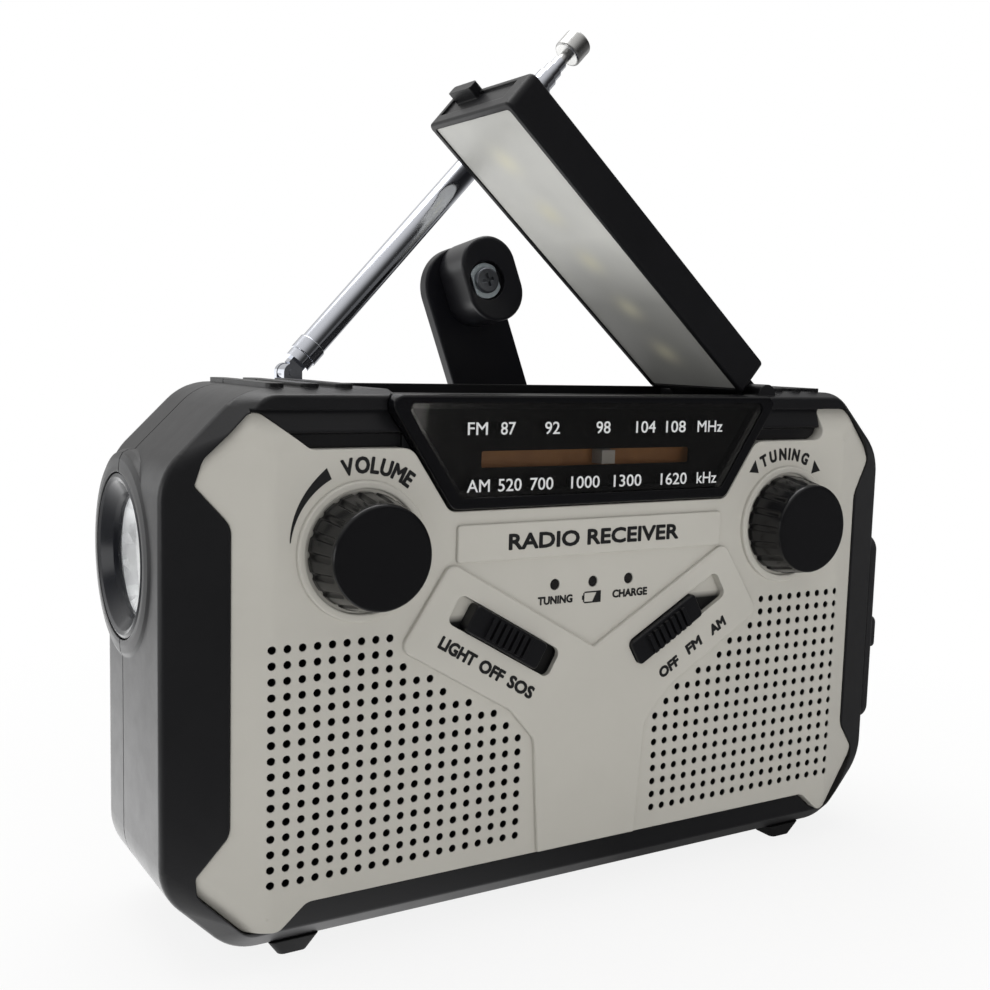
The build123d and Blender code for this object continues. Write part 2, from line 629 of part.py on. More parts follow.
with BuildPart() as volume_potentiometer:
    add(rod(at_depth(21.0), 8.4, 8.6, VOLUME_SPOT))
    cut(rod(at_depth(15.6), KNOB_SHAFT_RADIUS + RUN, 4.0, VOLUME_SPOT))
    # three terminals
    add(slab(at_depth(18.0), (1.2, 5.0), 0.8,
             *[(VOLUME_SPOT[0] + shift, VOLUME_SPOT[1] - 10.5) for shift in (-5, 0, 5)]))
save(volume_potentiometer.part, "volume_potentiometer")

# tuning shaft with the dial cord's drum moulded on it
with BuildPart() as tuning_shaft:
    add(knob_shaft(TUNING_SPOT, 18.4))
    add(rod(at_depth(DRUM_BACK), DRUM_RADIUS, DRUM_WIDTH, TUNING_SPOT))
    cut(lathe_y(TUNING_SPOT, [(8.7, 12.3), (10.5, 12.3), (10.5, 13.7), (8.7, 13.7)]))
save(tuning_shaft.part, "tuning_shaft")

with BuildPart() as tuning_capacitor:
    add(slab(at_depth(28.0), (20.0, 20.0, 1.0), 12.4, TUNING_SPOT))
    cut(rod(at_depth(19.0), KNOB_SHAFT_RADIUS + RUN, 4.0, TUNING_SPOT))
save(tuning_capacitor.part, "tuning_capacitor")

# ---------------------------------------------------------------- slide switches
SWITCH_TRAVEL = 4.0     # the band slider is off the middle by this much
GRIP_PITCH = 1.7        # ridges on a slider
BOARD_FRONT = 10.1      # depth at which switches and LEDs end, just ahead of the board


def slider(side, along):
    with BuildPart() as made:
        add(slab(at_depth(1.1), (19.6, 5.9, 0.9), 3.3, slot_at(side, along)))
        fillet(made.faces().sort_by(Axis.Y)[0].edges(), radius=0.5)
        # ridges
        add(slab(at_depth(-1.9), (0.95, 4.6), 1.15,
                 *[slot_at(side, along + k * GRIP_PITCH) for k in range(-3, 4)]))
        # stem into the switch
        add(slab(at_depth(5.4), (3.0, 1.9), 4.6, slot_at(side, along)))
    return made.part


save(slider(-1, 0.0), "light_slider")
save(slider(1, -SWITCH_TRAVEL), "band_slider")

with BuildPart() as slide_switches:
    add(slab(at_depth(BOARD_FRONT), (24.0, 7.6), 7.6, *SLOTS))
    cut(slab(at_depth(6.0), (12.4, 2.4), 5.0, *SLOTS))
save(slide_switches.part, "slide_switches")

save(rod(at_depth(BOARD_FRONT), 1.1, 9.9, *LEDS), "indicator_leds")

with BuildPart() as control_board:
    with BuildSketch(at_depth(11.7)):
        Polygon((-45.0, 13.0), (45.0, 13.0), (45.0, 3.0), (36.0, -4.0), (16.0, -19.0),
                (-16.0, -19.0), (-36.0, -4.0), (-45.0, 3.0), align=None)
    extrude(amount=1.5)
save(control_board.part, "control_board")

# ---------------------------------------------------------------- speaker
# (radius, depth) profiles
BASKET = [(22.4, 10.1), (25.0, 10.1), (25.0, 12.0), (23.4, 12.0), (15.0, 21.0), (8.0, 21.0),
          (8.0, 20.0), (14.6, 20.0), (22.2, 11.6)]
CONE = [(0, 15.6), (6.0, 16.4), (22.2, 10.4), (21.8, 11.0), (6.4, 17.2), (0, 16.6)]

save(lathe_y(SPEAKER, BASKET), "speaker_basket")
with BuildPart() as speaker_magnet:
    add(rod(at_depth(28.0), 13.5, 6.9, SPEAKER))
    add(rod(at_depth(21.2), 5.0, 3.2, SPEAKER))
save(speaker_magnet.part, "speaker_magnet")
save(lathe_y(SPEAKER, CONE), "speaker_cone")

# ---------------------------------------------------------------- main board, battery, ferrite
MAIN_BOARD_BACK = 14.6
# blocks on the board's rear side: (X, level, width, height, thickness)
COMPONENTS = [(8, -34, 9, 9, 1.6), (24, -30, 6, 4, 1.2), (40, -40, 12, 5, 4.0),
              (58, -34, 8, 8, 6.0), (18, -45, 5, 3, 1.0), (34, -46, 5, 3, 1.0)]
with BuildPart() as main_board:
    add(slab(at_depth(MAIN_BOARD_BACK), (88.0, 30.0), 1.6, (30.0, -36.5)))
    for x, level, width, height, thickness in COMPONENTS:
        with BuildSketch(at_depth(MAIN_BOARD_BACK)):
            rectangles((width, height), (x, level))
        extrude(amount=-thickness)
save(main_board.part, "main_board")

CELL_LENGTH, CELL_DEPTH = 64.0, 34.0
with BuildPart() as battery_cell:
    add(rod(facing_right(BATTERY[0] - CELL_LENGTH / 2, CELL_DEPTH, BATTERY[1]), 9.2, CELL_LENGTH))
    add(rod(facing_right(BATTERY[0] + CELL_LENGTH / 2, CELL_DEPTH, BATTERY[1]), 2.8, 1.2))
save(battery_cell.part, "battery_cell")

with BuildPart() as battery_door:
    add(slab(at_depth(DEPTH), (*DOOR_SIZE, 1.8), DEPTH - DOOR_INNER, BATTERY))
    # lip on the inner side
    with BuildSketch(at_depth(DOOR_INNER)):
        rectangles((*LIP_SIZE, 1.4), BATTERY)
        rectangles((66.0, 14.0, 1.4), BATTERY, mode=Mode.SUBTRACT)
    extrude(amount=1.6)
    # five upright lines near the +X end
    cut(slab(at_depth(DEPTH), (0.8, 10.0), 0.5,
             *[(49.0 + k * 1.8, BATTERY[1]) for k in range(5)]))
save(battery_door.part, "battery_door")

FERRITE_DEPTH, FERRITE_LEVEL, FERRITE_RADIUS = 26.0, 32.0, 4.0
save(rod(facing_right(-44.0, FERRITE_DEPTH, FERRITE_LEVEL), FERRITE_RADIUS, 76.0), "ferrite_rod")
save(rod(facing_right(-36.0, FERRITE_DEPTH, FERRITE_LEVEL), 5.2, 22.0,
         bore=FERRITE_RADIUS + RUN), "ferrite_coil")

# ---------------------------------------------------------------- torch, (radius, X) profiles
BARREL_RADIUS = TORCH_RADIUS - RUN
save(lathe_x([(BARREL_RADIUS, -72.6), (BARREL_RADIUS, -90.7), (16.1, -91.4), (15.4, -91.7),
              (14.6, -91.4), (12.4, -89.4), (11.9, -88.6), (11.9, -87.9), (13.2, -87.9),
              (13.2, -74.2), (0, -74.2), (0, -72.6)]), "torch_barrel")
save(lathe_x([(0, -87.8), (13.1, -87.8), (13.1, -86.6), (0, -86.6)]), "torch_lens")
save(lathe_x([(12.9, -86.5), (13.1, -86.5), (13.1, -85.9), (9.2, -79.6), (4.2, -75.6),
              (3.0, -75.6), (3.0, -76.4), (8.4, -80.2)]), "torch_reflector")
with BuildPart() as torch_led_board:
    add(lathe_x([(0, -75.5), (10.0, -75.5), (10.0, -74.3), (0, -74.3)]))
    add(lathe_x([(0, -77.6), (1.2, -77.6), (2.6, -76.4), (2.6, -75.4), (0, -75.4)]))
save(torch_led_board.part, "torch_led_board")

# ---------------------------------------------------------------- ports behind the side cover
COVER_X = HALF_WIDTH + 0.1      # inner face of the rubber cover
PORT_BOARD_X = 77.4             # inner face of the port board
PORT_BACK_X, PORT_LENGTH = 79.0, 9.9

with BuildPart() as port_cover:
    add(slab(facing_right(COVER_X, 15.6, -12.5), (18.0, 48.2, 4.0), 2.7))
    fillet(port_cover.faces().sort_by(Axis.X)[-1].edges(), radius=1.2)
    # pull tab outside, and a plug for each socket inside
    add(slab(facing_right(HALF_WIDTH + 2.6, 10.4, -14.1), (4.6, 8.0, 1.4), 2.4))
    with BuildSketch(facing_right(COVER_X, PORT_DEPTH, PORT_LEVEL)):
        rectangles((5.6, 13.0, 1.0), (0, USB_SHIFT))
        rectangles((3.2, 8.8, 1.5), (0, CHARGE_SHIFT))
    extrude(amount=-1.5)
save(port_cover.part, "port_cover")

save(slab(facing_right(PORT_BOARD_X, PORT_DEPTH, PORT_LEVEL), (13.0, 44.0), 1.5), "port_board")


def socket(shift, outside, inside, tongue, tongue_spot):
    """A metal socket open towards +X, with a tongue left standing inside."""
    level = PORT_LEVEL + shift
    with BuildPart() as made:
        add(slab(facing_right(PORT_BACK_X, PORT_DEPTH, level), outside, PORT_LENGTH))
        with BuildSketch(facing_right(PORT_BACK_X + 1.0, PORT_DEPTH, level)):
            rectangles(inside)
            rectangles(tongue, tongue_spot, mode=Mode.SUBTRACT)
        extrude(amount=9.5, mode=Mode.SUBTRACT)
    return made.part


with BuildPart() as usb_ports:
    add(socket(USB_SHIFT, (6.9, 14.4), (6.1, 13.6), (1.8, 11.6), (1.4, 0)))
    add(socket(CHARGE_SHIFT, (4.2, 9.9, 1.9), (3.6, 9.3, 1.7), (0.8, 6.6), (0, 0)))
save(usb_ports.part, "usb_ports")

# ---------------------------------------------------------------- flip panel
PANEL_ANGLE = radians(40.9)         # how far it stands open
PANEL_RISE = 1.0                    # its middle passes this far above the hinge
PANEL_NEAR, PANEL_FAR = -4.0, -91.0     # hinge end and free end along the panel
PANEL_FRONT, PANEL_BACK = 4.6, 38.1     # depths
PANEL_HALF = 4.5                    # half thickness
PANEL_LENGTH, PANEL_WIDTH = PANEL_NEAR - PANEL_FAR, PANEL_BACK - PANEL_FRONT
PANEL_MIDDLE = ((PANEL_NEAR + PANEL_FAR) / 2, (PANEL_FRONT + PANEL_BACK) / 2)
# local x runs along the panel towards the hinge, local y is the depth
PANEL = Plane(origin=(PIVOT[0], FRONT_Y, ROW_Z + PIVOT[1] + PANEL_RISE),
              x_dir=(cos(PANEL_ANGLE), 0, -sin(PANEL_ANGLE)),
              z_dir=(sin(PANEL_ANGLE), 0, cos(PANEL_ANGLE)))


def panel_slab(height, less_length, less_width, thickness, *radius):
    """A slab in the middle of the panel, smaller than the panel by the given amounts."""
    size = (PANEL_LENGTH - less_length, PANEL_WIDTH - less_width, *radius)
    return slab(PANEL.offset(height), size, thickness, PANEL_MIDDLE)


def panel_end(x, depth, height):
    """Plane square to the panel, looking along it towards the hinge."""
    return Plane(origin=PANEL.from_local_coords((x, depth, height)), x_dir=(0, 1, 0),
                 z_dir=PANEL.x_dir)


with BuildPart() as panel_housing:
    add(panel_slab(-PANEL_HALF, 0.0, 0.0, 2 * PANEL_HALF, 1.6))
    fillet(panel_housing.faces().sort_by(SortBy.AREA)[-2:].edges(), radius=0.6)
    # lamp hollow underneath, solar cell hollow on top
    cut(panel_slab(-PANEL_HALF, 3.0, 3.0, 3.9, 0.8))
    with BuildSketch(PANEL.offset(PANEL_HALF)):
        rectangles((PANEL_LENGTH - 8.0, PANEL_WIDTH - 6.0, 0.8), PANEL_MIDDLE)
    extrude(amount=-2.8, mode=Mode.SUBTRACT)
    # shallow end recess and the finger lip
    cut(slab(panel_end(PANEL_FAR, PANEL_MIDDLE[1] + 1.0, 0.6), (26.0, 5.0), 0.5))
    add(slab(panel_end(PANEL_FAR - 2.3, 28.6, 2.9), (9.4, 2.4, 0.7), 3.0))
    # knuckle between the two ears of the case
    with BuildSketch(Plane(origin=(PIVOT[0], FRONT_Y + 9.0, ROW_Z + PIVOT[1]),
                           x_dir=PANEL.x_dir, z_dir=(0, 1, 0))):
        Circle(EAR_RADIUS)
        rectangles((5.2, 2 * EAR_RADIUS), (-2.6, 0))
        Circle(PIVOT_BORE, mode=Mode.SUBTRACT)
    extrude(amount=24.6)
save(panel_housing.part, "panel_housing")

save(panel_slab(-PANEL_HALF + 0.35, 3.2, 3.2, 1.2, 0.7), "panel_diffuser")

LED_BOARD_HEIGHT = -1.75        # its underside, from the middle of the panel
LED_PITCH = 15.0
with BuildPart() as panel_led_board:
    add(slab(PANEL.offset(LED_BOARD_HEIGHT), (PANEL_LENGTH - 8.0, 14.0), 1.15, PANEL_MIDDLE))
    with BuildSketch(PANEL.offset(LED_BOARD_HEIGHT)):
        rectangles((3.4, 2.8), *[(PANEL_MIDDLE[0] + LED_PITCH * k, PANEL_MIDDLE[1])
                                 for k in range(-2, 3)])
    extrude(amount=-0.7)
save(panel_led_board.part, "panel_led_board")

save(panel_slab(1.7, 9.0, 7.0, 0.9), "solar_cell")
save(panel_slab(2.7, 8.2, 6.2, 1.3, 0.7), "solar_cover")
save(rod(at_depth(40.4), PIVOT_BORE - RUN, 35.8, PIVOT), "panel_hinge_pin")

# ---------------------------------------------------------------- antenna
ANTENNA_ANGLE = 47.5        # above the horizontal, in degrees
TILT_PIN = (ANTENNA_SPOT[0], 49.6)      # tilt pin, (X, level)
TILT_PIN_DEPTH = ANTENNA_SPOT[1]
TILT_PIN_RADIUS = 0.9
LUG_RADIUS = 2.1
FERRULE_RADIUS, TIP_RADIUS = 3.2, 3.5
ANTENNA_DIRECTION = Vector(cos(radians(ANTENNA_ANGLE)), 0, sin(radians(ANTENNA_ANGLE)))
ANTENNA_ORIGIN = Vector(TILT_PIN[0], FRONT_Y + TILT_PIN_DEPTH, ROW_Z + TILT_PIN[1])
# telescopic tubes: (name, start and end from the tilt pin, outer radius, inner radius)
SECTIONS = [("antenna_section_1", 10.5, 95.9, 2.5, 2.15),
            ("antenna_section_2", 12.5, 98.6, 2.1, 1.75),
            ("antenna_section_3", 14.5, 101.3, 1.7, 1.35)]


def along_antenna(distance):
    """Plane square to the antenna, a distance from its tilt pin."""
    return Plane(origin=ANTENNA_ORIGIN + ANTENNA_DIRECTION * distance, x_dir=(0, 1, 0),
                 z_dir=ANTENNA_DIRECTION)


def antenna_circles(piece, radius):
    circular = piece.edges().filter_by(GeomType.CIRCLE)
    return circular.filter_by(lambda e: abs(e.radius - radius) < 0.01)


with BuildPart() as antenna_swivel:
    add(rod(at_level(ANTENNA_BOSS_TOP + RUN), 4.2, 0.95, ANTENNA_SPOT))
    add(rod(at_level(41.4), 2.5, 5.2, ANTENNA_SPOT))
    # a lug on each side of the tube's eye
    for side in (-1, 1):
        with BuildSketch(at_depth(TILT_PIN_DEPTH + side * 1.4)):
            circles(LUG_RADIUS, TILT_PIN)
            rectangles((2 * LUG_RADIUS, 2.6), (TILT_PIN[0], TILT_PIN[1] - 1.3))
        extrude(amount=-side * 1.5)
    # tilt pin through both lugs
    cut(rod(at_depth(TILT_PIN_DEPTH + 5), TILT_PIN_RADIUS, 10.0, TILT_PIN))
    add(rod(at_depth(TILT_PIN_DEPTH + 3.1), TILT_PIN_RADIUS, 6.2, TILT_PIN))
save(antenna_swivel.part, "antenna_swivel")

with BuildPart() as antenna_base_tube:
    # eye on the tilt pin and its neck
    with BuildSketch(at_depth(TILT_PIN_DEPTH + 1.3)):
        circles(2.0, TILT_PIN)
        circles(TILT_PIN_RADIUS + RUN, TILT_PIN, mode=Mode.SUBTRACT)
        rectangles((3.0, 3.6), Location((TILT_PIN[0] + 3.0 * ANTENNA_DIRECTION.X,
                                         TILT_PIN[1] + 3.0 * ANTENNA_DIRECTION.Z, 0),
                                        (0, 0, ANTENNA_ANGLE)))
    extrude(amount=2.6)
    add(rod(along_antenna(2.9), 2.9, 2.0))
    add(rod(along_antenna(4.9), FERRULE_RADIUS, 3.6))
    fillet(antenna_circles(antenna_base_tube, FERRULE_RADIUS), radius=0.25)
    add(rod(along_antenna(8.5), 2.9, 84.5))
    cut(rod(along_antenna(9.0), 2.55, 85.0))
save(antenna_base_tube.part, "antenna_base_tube")

for name, start, end, outer_radius, inner_radius in SECTIONS:
    save(rod(along_antenna(start), outer_radius, end - start, bore=inner_radius), name)

with BuildPart() as antenna_tip:
    add(rod(along_antenna(16.5), 1.3, 87.4))
    add(rod(along_antenna(103.8), TIP_RADIUS, 5.2))
    fillet(antenna_circles(antenna_tip, TIP_RADIUS), radius=0.6)
save(antenna_tip.part, "antenna_tip")

# ---------------------------------------------------------------- crank
FOLD_DEPTH = 60.2           # depth of the fold pin
FOLD_BORE = 1.25            # radius of the fold pin's hole
TILT = radians(CRANK_TILT)
LEAN = radians(7.0)         # the arm leans away from the rear face
GRIP_SPOT = (0, CRANK_LENGTH)   # grip axis on an arm_plane()
ARM_HALF_WIDTH, ARM_SHIFT = 10.3, 0.3
ARM_START = 8.0             # where the arm's full width begins, from the fold pin
GRIP_HEAD = -14.7           # front face of the grip screw's head, from the arm's middle

ARM_ALONG = Vector(-sin(TILT) * cos(LEAN), sin(LEAN), cos(TILT) * cos(LEAN))    # pin to grip
ARM_OUT = Vector(sin(TILT) * sin(LEAN), cos(LEAN), -cos(TILT) * sin(LEAN))      # off the case
ARM_PIN = Vector(-cos(TILT), 0, -sin(TILT))                                     # along the pin
ARM_ORIGIN = Vector(HUB[0], FRONT_Y + FOLD_DEPTH, ROW_Z + HUB[1])
HUB_UP = Vector(-sin(TILT), 0, cos(TILT))                                       # without lean


def arm_plane(height):
    """Plane parallel to the arm: local x along the fold pin, local y along the arm."""
    return Plane(origin=ARM_ORIGIN + ARM_OUT * height, x_dir=ARM_PIN, z_dir=ARM_OUT)


def pin_plane(offset):
    """Plane square to the fold pin: local x along the arm."""
    return Plane(origin=ARM_ORIGIN + ARM_PIN * offset, x_dir=ARM_ALONG, z_dir=ARM_PIN)


with BuildPart() as crank_hub:
    add(rod(at_depth(56.3), 11.0, 4.0, HUB))
    fillet(crank_hub.faces().sort_by(Axis.Y)[-1].edges(), radius=0.8)
    # ears for the fold pin, reaching forwards to the disc
    for side in (-1, 1):
        with BuildSketch(Plane(origin=ARM_ORIGIN + ARM_PIN * (side * 6.2), x_dir=HUB_UP,
                               z_dir=ARM_PIN * side)):
            Circle(2.6)
            rectangles((5.2, 4.6), (0, -2.2 * side))
        extrude(amount=3.0)
    cut(rod(Plane(origin=ARM_ORIGIN - ARM_PIN * 10, x_dir=HUB_UP, z_dir=ARM_PIN), FOLD_BORE, 20.0))
    # crank shaft
    add(rod(at_depth(56.0), 2.98, 22.4, HUB))
save(crank_hub.part, "crank_hub")

save(rod(pin_plane(-9.1), FOLD_BORE - RUN, 18.2), "crank_hinge_pin")

with BuildPart() as crank_arm:
    with BuildSketch(arm_plane(-2.0)):
        circles(ARM_HALF_WIDTH, (ARM_SHIFT, CRANK_LENGTH))
        rectangles((2 * ARM_HALF_WIDTH, CRANK_LENGTH - ARM_START),
                   (ARM_SHIFT, (CRANK_LENGTH + ARM_START) / 2))
        rectangles((12.0, 10.0), (0, 5.0))
    extrude(amount=4.0)
    fillet(crank_arm.faces().sort_by(SortBy.AREA)[-2:].edges(), radius=0.7)
    # knuckle on the fold pin, and the grip screw's hole
    add(rod(pin_plane(-6.0), 2.0, 12.0))
    cut(rod(pin_plane(-7.0), FOLD_BORE, 14.0))
    cut(rod(arm_plane(-3.0), 2.0, 6.0, GRIP_SPOT))
save(crank_arm.part, "crank_arm")

with BuildPart() as crank_grip:
    add(slab(arm_plane(-14.3), (15.0, 21.0, 7.3), 12.2, (-1.8, CRANK_LENGTH)))
    fillet(crank_grip.faces().sort_by(Axis.Y)[0].edges(), radius=0.9)
    # counterbore and bore for the screw
    cut(rod(arm_plane(-14.5), 4.8, 2.0, GRIP_SPOT))
    cut(rod(arm_plane(-14.5), 2.55, 14.5, GRIP_SPOT))
save(crank_grip.part, "crank_grip")

# washer with four flats
with BuildPart() as grip_washer:
    with BuildSketch(arm_plane(-13.4)):
        with Locations(GRIP_SPOT):
            Circle(4.3)
            Rectangle(7.0, 9.0, mode=Mode.INTERSECT)
            Circle(2.05, mode=Mode.SUBTRACT)
    extrude(amount=0.7)
save(grip_washer.part, "grip_washer")

with BuildPart() as grip_screw:
    add(rod(arm_plane(GRIP_HEAD), 3.1, 1.25, GRIP_SPOT))
    fillet(grip_screw.faces().sort_by(Axis.Y)[0].edges(), radius=0.5)
    # cross recess
    with BuildSketch(arm_plane(GRIP_HEAD)):
        rectangles((3.2, 0.8), GRIP_SPOT)
        rectangles((0.8, 3.2), GRIP_SPOT)
    extrude(amount=0.8, mode=Mode.SUBTRACT)
    # shank, and the thicker length that the grip turns on
    add(rod(arm_plane(GRIP_HEAD + 1.25), 1.95, 14.9, GRIP_SPOT))
    add(rod(arm_plane(-12.65), 2.5, 10.6, GRIP_SPOT))
save(grip_screw.part, "grip_screw")


# ---------------------------------------------------------------- generator drive
def involute(angle):
    return tan(angle) - angle


def draw_gear(spot, module, teeth, first_tooth, play=0.12, pressure_angle=20.0):
    """A stub-tooth involute gear in the open BuildSketch, first tooth centred at an angle."""
    pressure = radians(pressure_angle)
    pitch_radius = module * teeth / 2
    base = pitch_radius * cos(pressure)
    tip = pitch_radius + 0.8 * module
    root = pitch_radius - 1.1 * module
    half_tooth = (pi / 2 - play / module) / teeth + involute(pressure)
    low = max(base, root)
    # one flank as (radius, angle from the tooth's middle), root to tip
    flank = []
    for j in range(4):
        radius = low + (tip - low) * j / 3
        flank.append((radius, half_tooth - involute(acos(min(1, base / radius)))))
    if root < low:
        flank.insert(0, (root, flank[0][1]))
    points = []
    for k in range(teeth):
        middle = radians(first_tooth) + 2 * pi * k / teeth
        for radius, angle in flank:
            points.append((radius * cos(middle - angle), radius * sin(middle - angle)))
        for radius, angle in reversed(flank):
            points.append((radius * cos(middle + angle), radius * sin(middle + angle)))
    with Locations(spot):
        Polygon(*points, align=None)


def meshed(spot, module, teeth, direction):
    """Centre of a gear that meshes with the one at a spot; teeth is the sum of both."""
    distance = module * teeth / 2
    return (spot[0] + distance * cos(radians(direction)),
            spot[1] + distance * sin(radians(direction)))


CRANK_TEETH, INPUT_TEETH, OUTPUT_TEETH, PINION_TEETH = 42, 14, 35, 14
MODULE_ONE, MODULE_TWO = 1.0, 0.8               # first and second stage
DIRECTION_ONE, DIRECTION_TWO = 200.0, 215.0     # from each wheel to its pinion, in degrees
INTERMEDIATE = meshed(HUB, MODULE_ONE, CRANK_TEETH + INPUT_TEETH, DIRECTION_ONE)
GENERATOR = meshed(INTERMEDIATE, MODULE_TWO, OUTPUT_TEETH + PINION_TEETH, DIRECTION_TWO)
CRANK_GEAR_BACK = 43.8
CRANK_GEAR_BORE = 3.0
STUD_RADIUS = 1.5           # stud that carries the intermediate gear
ROTOR_RADIUS = 1.0

with BuildPart() as crank_gear:
    with BuildSketch(at_depth(CRANK_GEAR_BACK)):
        draw_gear(HUB, MODULE_ONE, CRANK_TEETH, DIRECTION_ONE)
        with Locations(HUB):
            Circle(CRANK_GEAR_BORE, mode=Mode.SUBTRACT)
            with PolarLocations(12.0, 5):
                Circle(3.6, mode=Mode.SUBTRACT)
    extrude(amount=3.6)
    add(rod(at_depth(CRANK_GEAR_BACK), 5.6, 7.0, HUB, bore=CRANK_GEAR_BORE))
save(crank_gear.part, "crank_gear")

with BuildPart() as intermediate_gear:
    with BuildSketch(at_depth(CRANK_GEAR_BACK)):
        draw_gear(INTERMEDIATE, MODULE_ONE, INPUT_TEETH,
                  DIRECTION_ONE + 180.0 + 180.0 / INPUT_TEETH)
    extrude(amount=4.2)
    with BuildSketch(at_depth(39.6)):
        draw_gear(INTERMEDIATE, MODULE_TWO, OUTPUT_TEETH, DIRECTION_TWO)
    extrude(amount=3.2)
    cut(rod(at_depth(45.0), STUD_RADIUS + RUN, 10.0, INTERMEDIATE))
save(intermediate_gear.part, "intermediate_gear")

with BuildPart() as generator_rotor:
    with BuildSketch(at_depth(39.8)):
        draw_gear(GENERATOR, MODULE_TWO, PINION_TEETH,
                  DIRECTION_TWO + 180.0 + 180.0 / PINION_TEETH)
        circles(ROTOR_RADIUS, GENERATOR, mode=Mode.SUBTRACT)
    extrude(amount=3.6)
    add(rod(at_depth(40.0), ROTOR_RADIUS, 12.0, GENERATOR))
save(generator_rotor.part, "generator_rotor")

with BuildPart() as generator:
    with BuildSketch(at_depth(34.0)):
        with Locations(GENERATOR):
            Circle(11.0)
            RegularPolygon(14.0, 4, mode=Mode.INTERSECT, rotation=45)
    extrude(amount=17.0)
    cut(rod(at_depth(34.0), ROTOR_RADIUS + RUN, 7.0, GENERATOR))
save(generator.part, "generator")

with BuildPart() as gear_plate:
    with BuildSketch(at_depth(35.4)):
        circles(8.0, HUB)
        circles(9.0, INTERMEDIATE)
        circles(11.0, GENERATOR)
        make_hull()
        circles(3.05, HUB, mode=Mode.SUBTRACT)
        circles(STUD_RADIUS, INTERMEDIATE, mode=Mode.SUBTRACT)
        circles(2.0, GENERATOR, mode=Mode.SUBTRACT)
    extrude(amount=1.3)
    add(rod(at_depth(44.6), STUD_RADIUS, 10.4, INTERMEDIATE))
save(gear_plate.part, "gear_plate")
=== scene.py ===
import functools
import json
import math

import bpy
from mathutils import Matrix, Vector


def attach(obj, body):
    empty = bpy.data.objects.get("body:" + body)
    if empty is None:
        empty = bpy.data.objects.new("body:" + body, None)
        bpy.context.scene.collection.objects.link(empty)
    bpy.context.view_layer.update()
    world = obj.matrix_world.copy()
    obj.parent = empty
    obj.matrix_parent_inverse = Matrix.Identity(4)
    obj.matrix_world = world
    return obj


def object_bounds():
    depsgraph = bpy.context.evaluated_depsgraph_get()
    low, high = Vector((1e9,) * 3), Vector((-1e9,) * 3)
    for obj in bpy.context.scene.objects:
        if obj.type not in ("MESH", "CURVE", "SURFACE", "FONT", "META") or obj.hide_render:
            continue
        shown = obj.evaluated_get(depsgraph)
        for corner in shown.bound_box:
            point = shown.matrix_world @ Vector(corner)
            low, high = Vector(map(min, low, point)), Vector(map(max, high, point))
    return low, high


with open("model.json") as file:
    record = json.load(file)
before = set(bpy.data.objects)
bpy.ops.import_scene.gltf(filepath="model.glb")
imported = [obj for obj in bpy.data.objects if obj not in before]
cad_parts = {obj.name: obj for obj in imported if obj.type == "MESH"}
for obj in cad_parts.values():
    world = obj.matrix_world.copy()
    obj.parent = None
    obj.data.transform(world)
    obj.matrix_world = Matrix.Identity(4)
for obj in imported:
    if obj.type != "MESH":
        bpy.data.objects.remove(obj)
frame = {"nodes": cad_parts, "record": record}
CAD_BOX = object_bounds()
scene = bpy.context.scene

# ------------------------------------------------------------------ frame of the front layout
MM = 0.001
FRONT = -0.0307          # Y of the front panel face, metres
ROW_Z = 0.0623           # Z of level zero of the front layout, metres
CENTRED = abs(CAD_BOX[0][0] + CAD_BOX[1][0]) < 0.0008
MIDDLE = 2.15 if CENTRED else 0.0   # mm from the middle of the radio to the layout's zero


def at(x, depth, level):
    """A point given as X, depth behind the front face and level, in millimetres."""
    return Vector(((x - MIDDLE) * MM, FRONT + depth * MM, ROW_Z + level * MM))


# Solar panel: distances along it run from its free end (negative) to its hinge (zero)
PANEL_TILT = math.radians(40.9)
PANEL_ORIGIN = at(49.8, 0.0, 48.0) if CENTRED else at(48.5, 0.0, 47.5)
PANEL_ALONG = Vector((math.cos(PANEL_TILT), 0, -math.sin(PANEL_TILT)))
LED_PLACES = [-47.5 + 15.0 * k for k in range(-2, 3)]   # mm along the panel
LED_DEPTH = 21.35                                       # mm behind the front face
LED_GLOW_RADIUS = 3.4                                   # mm


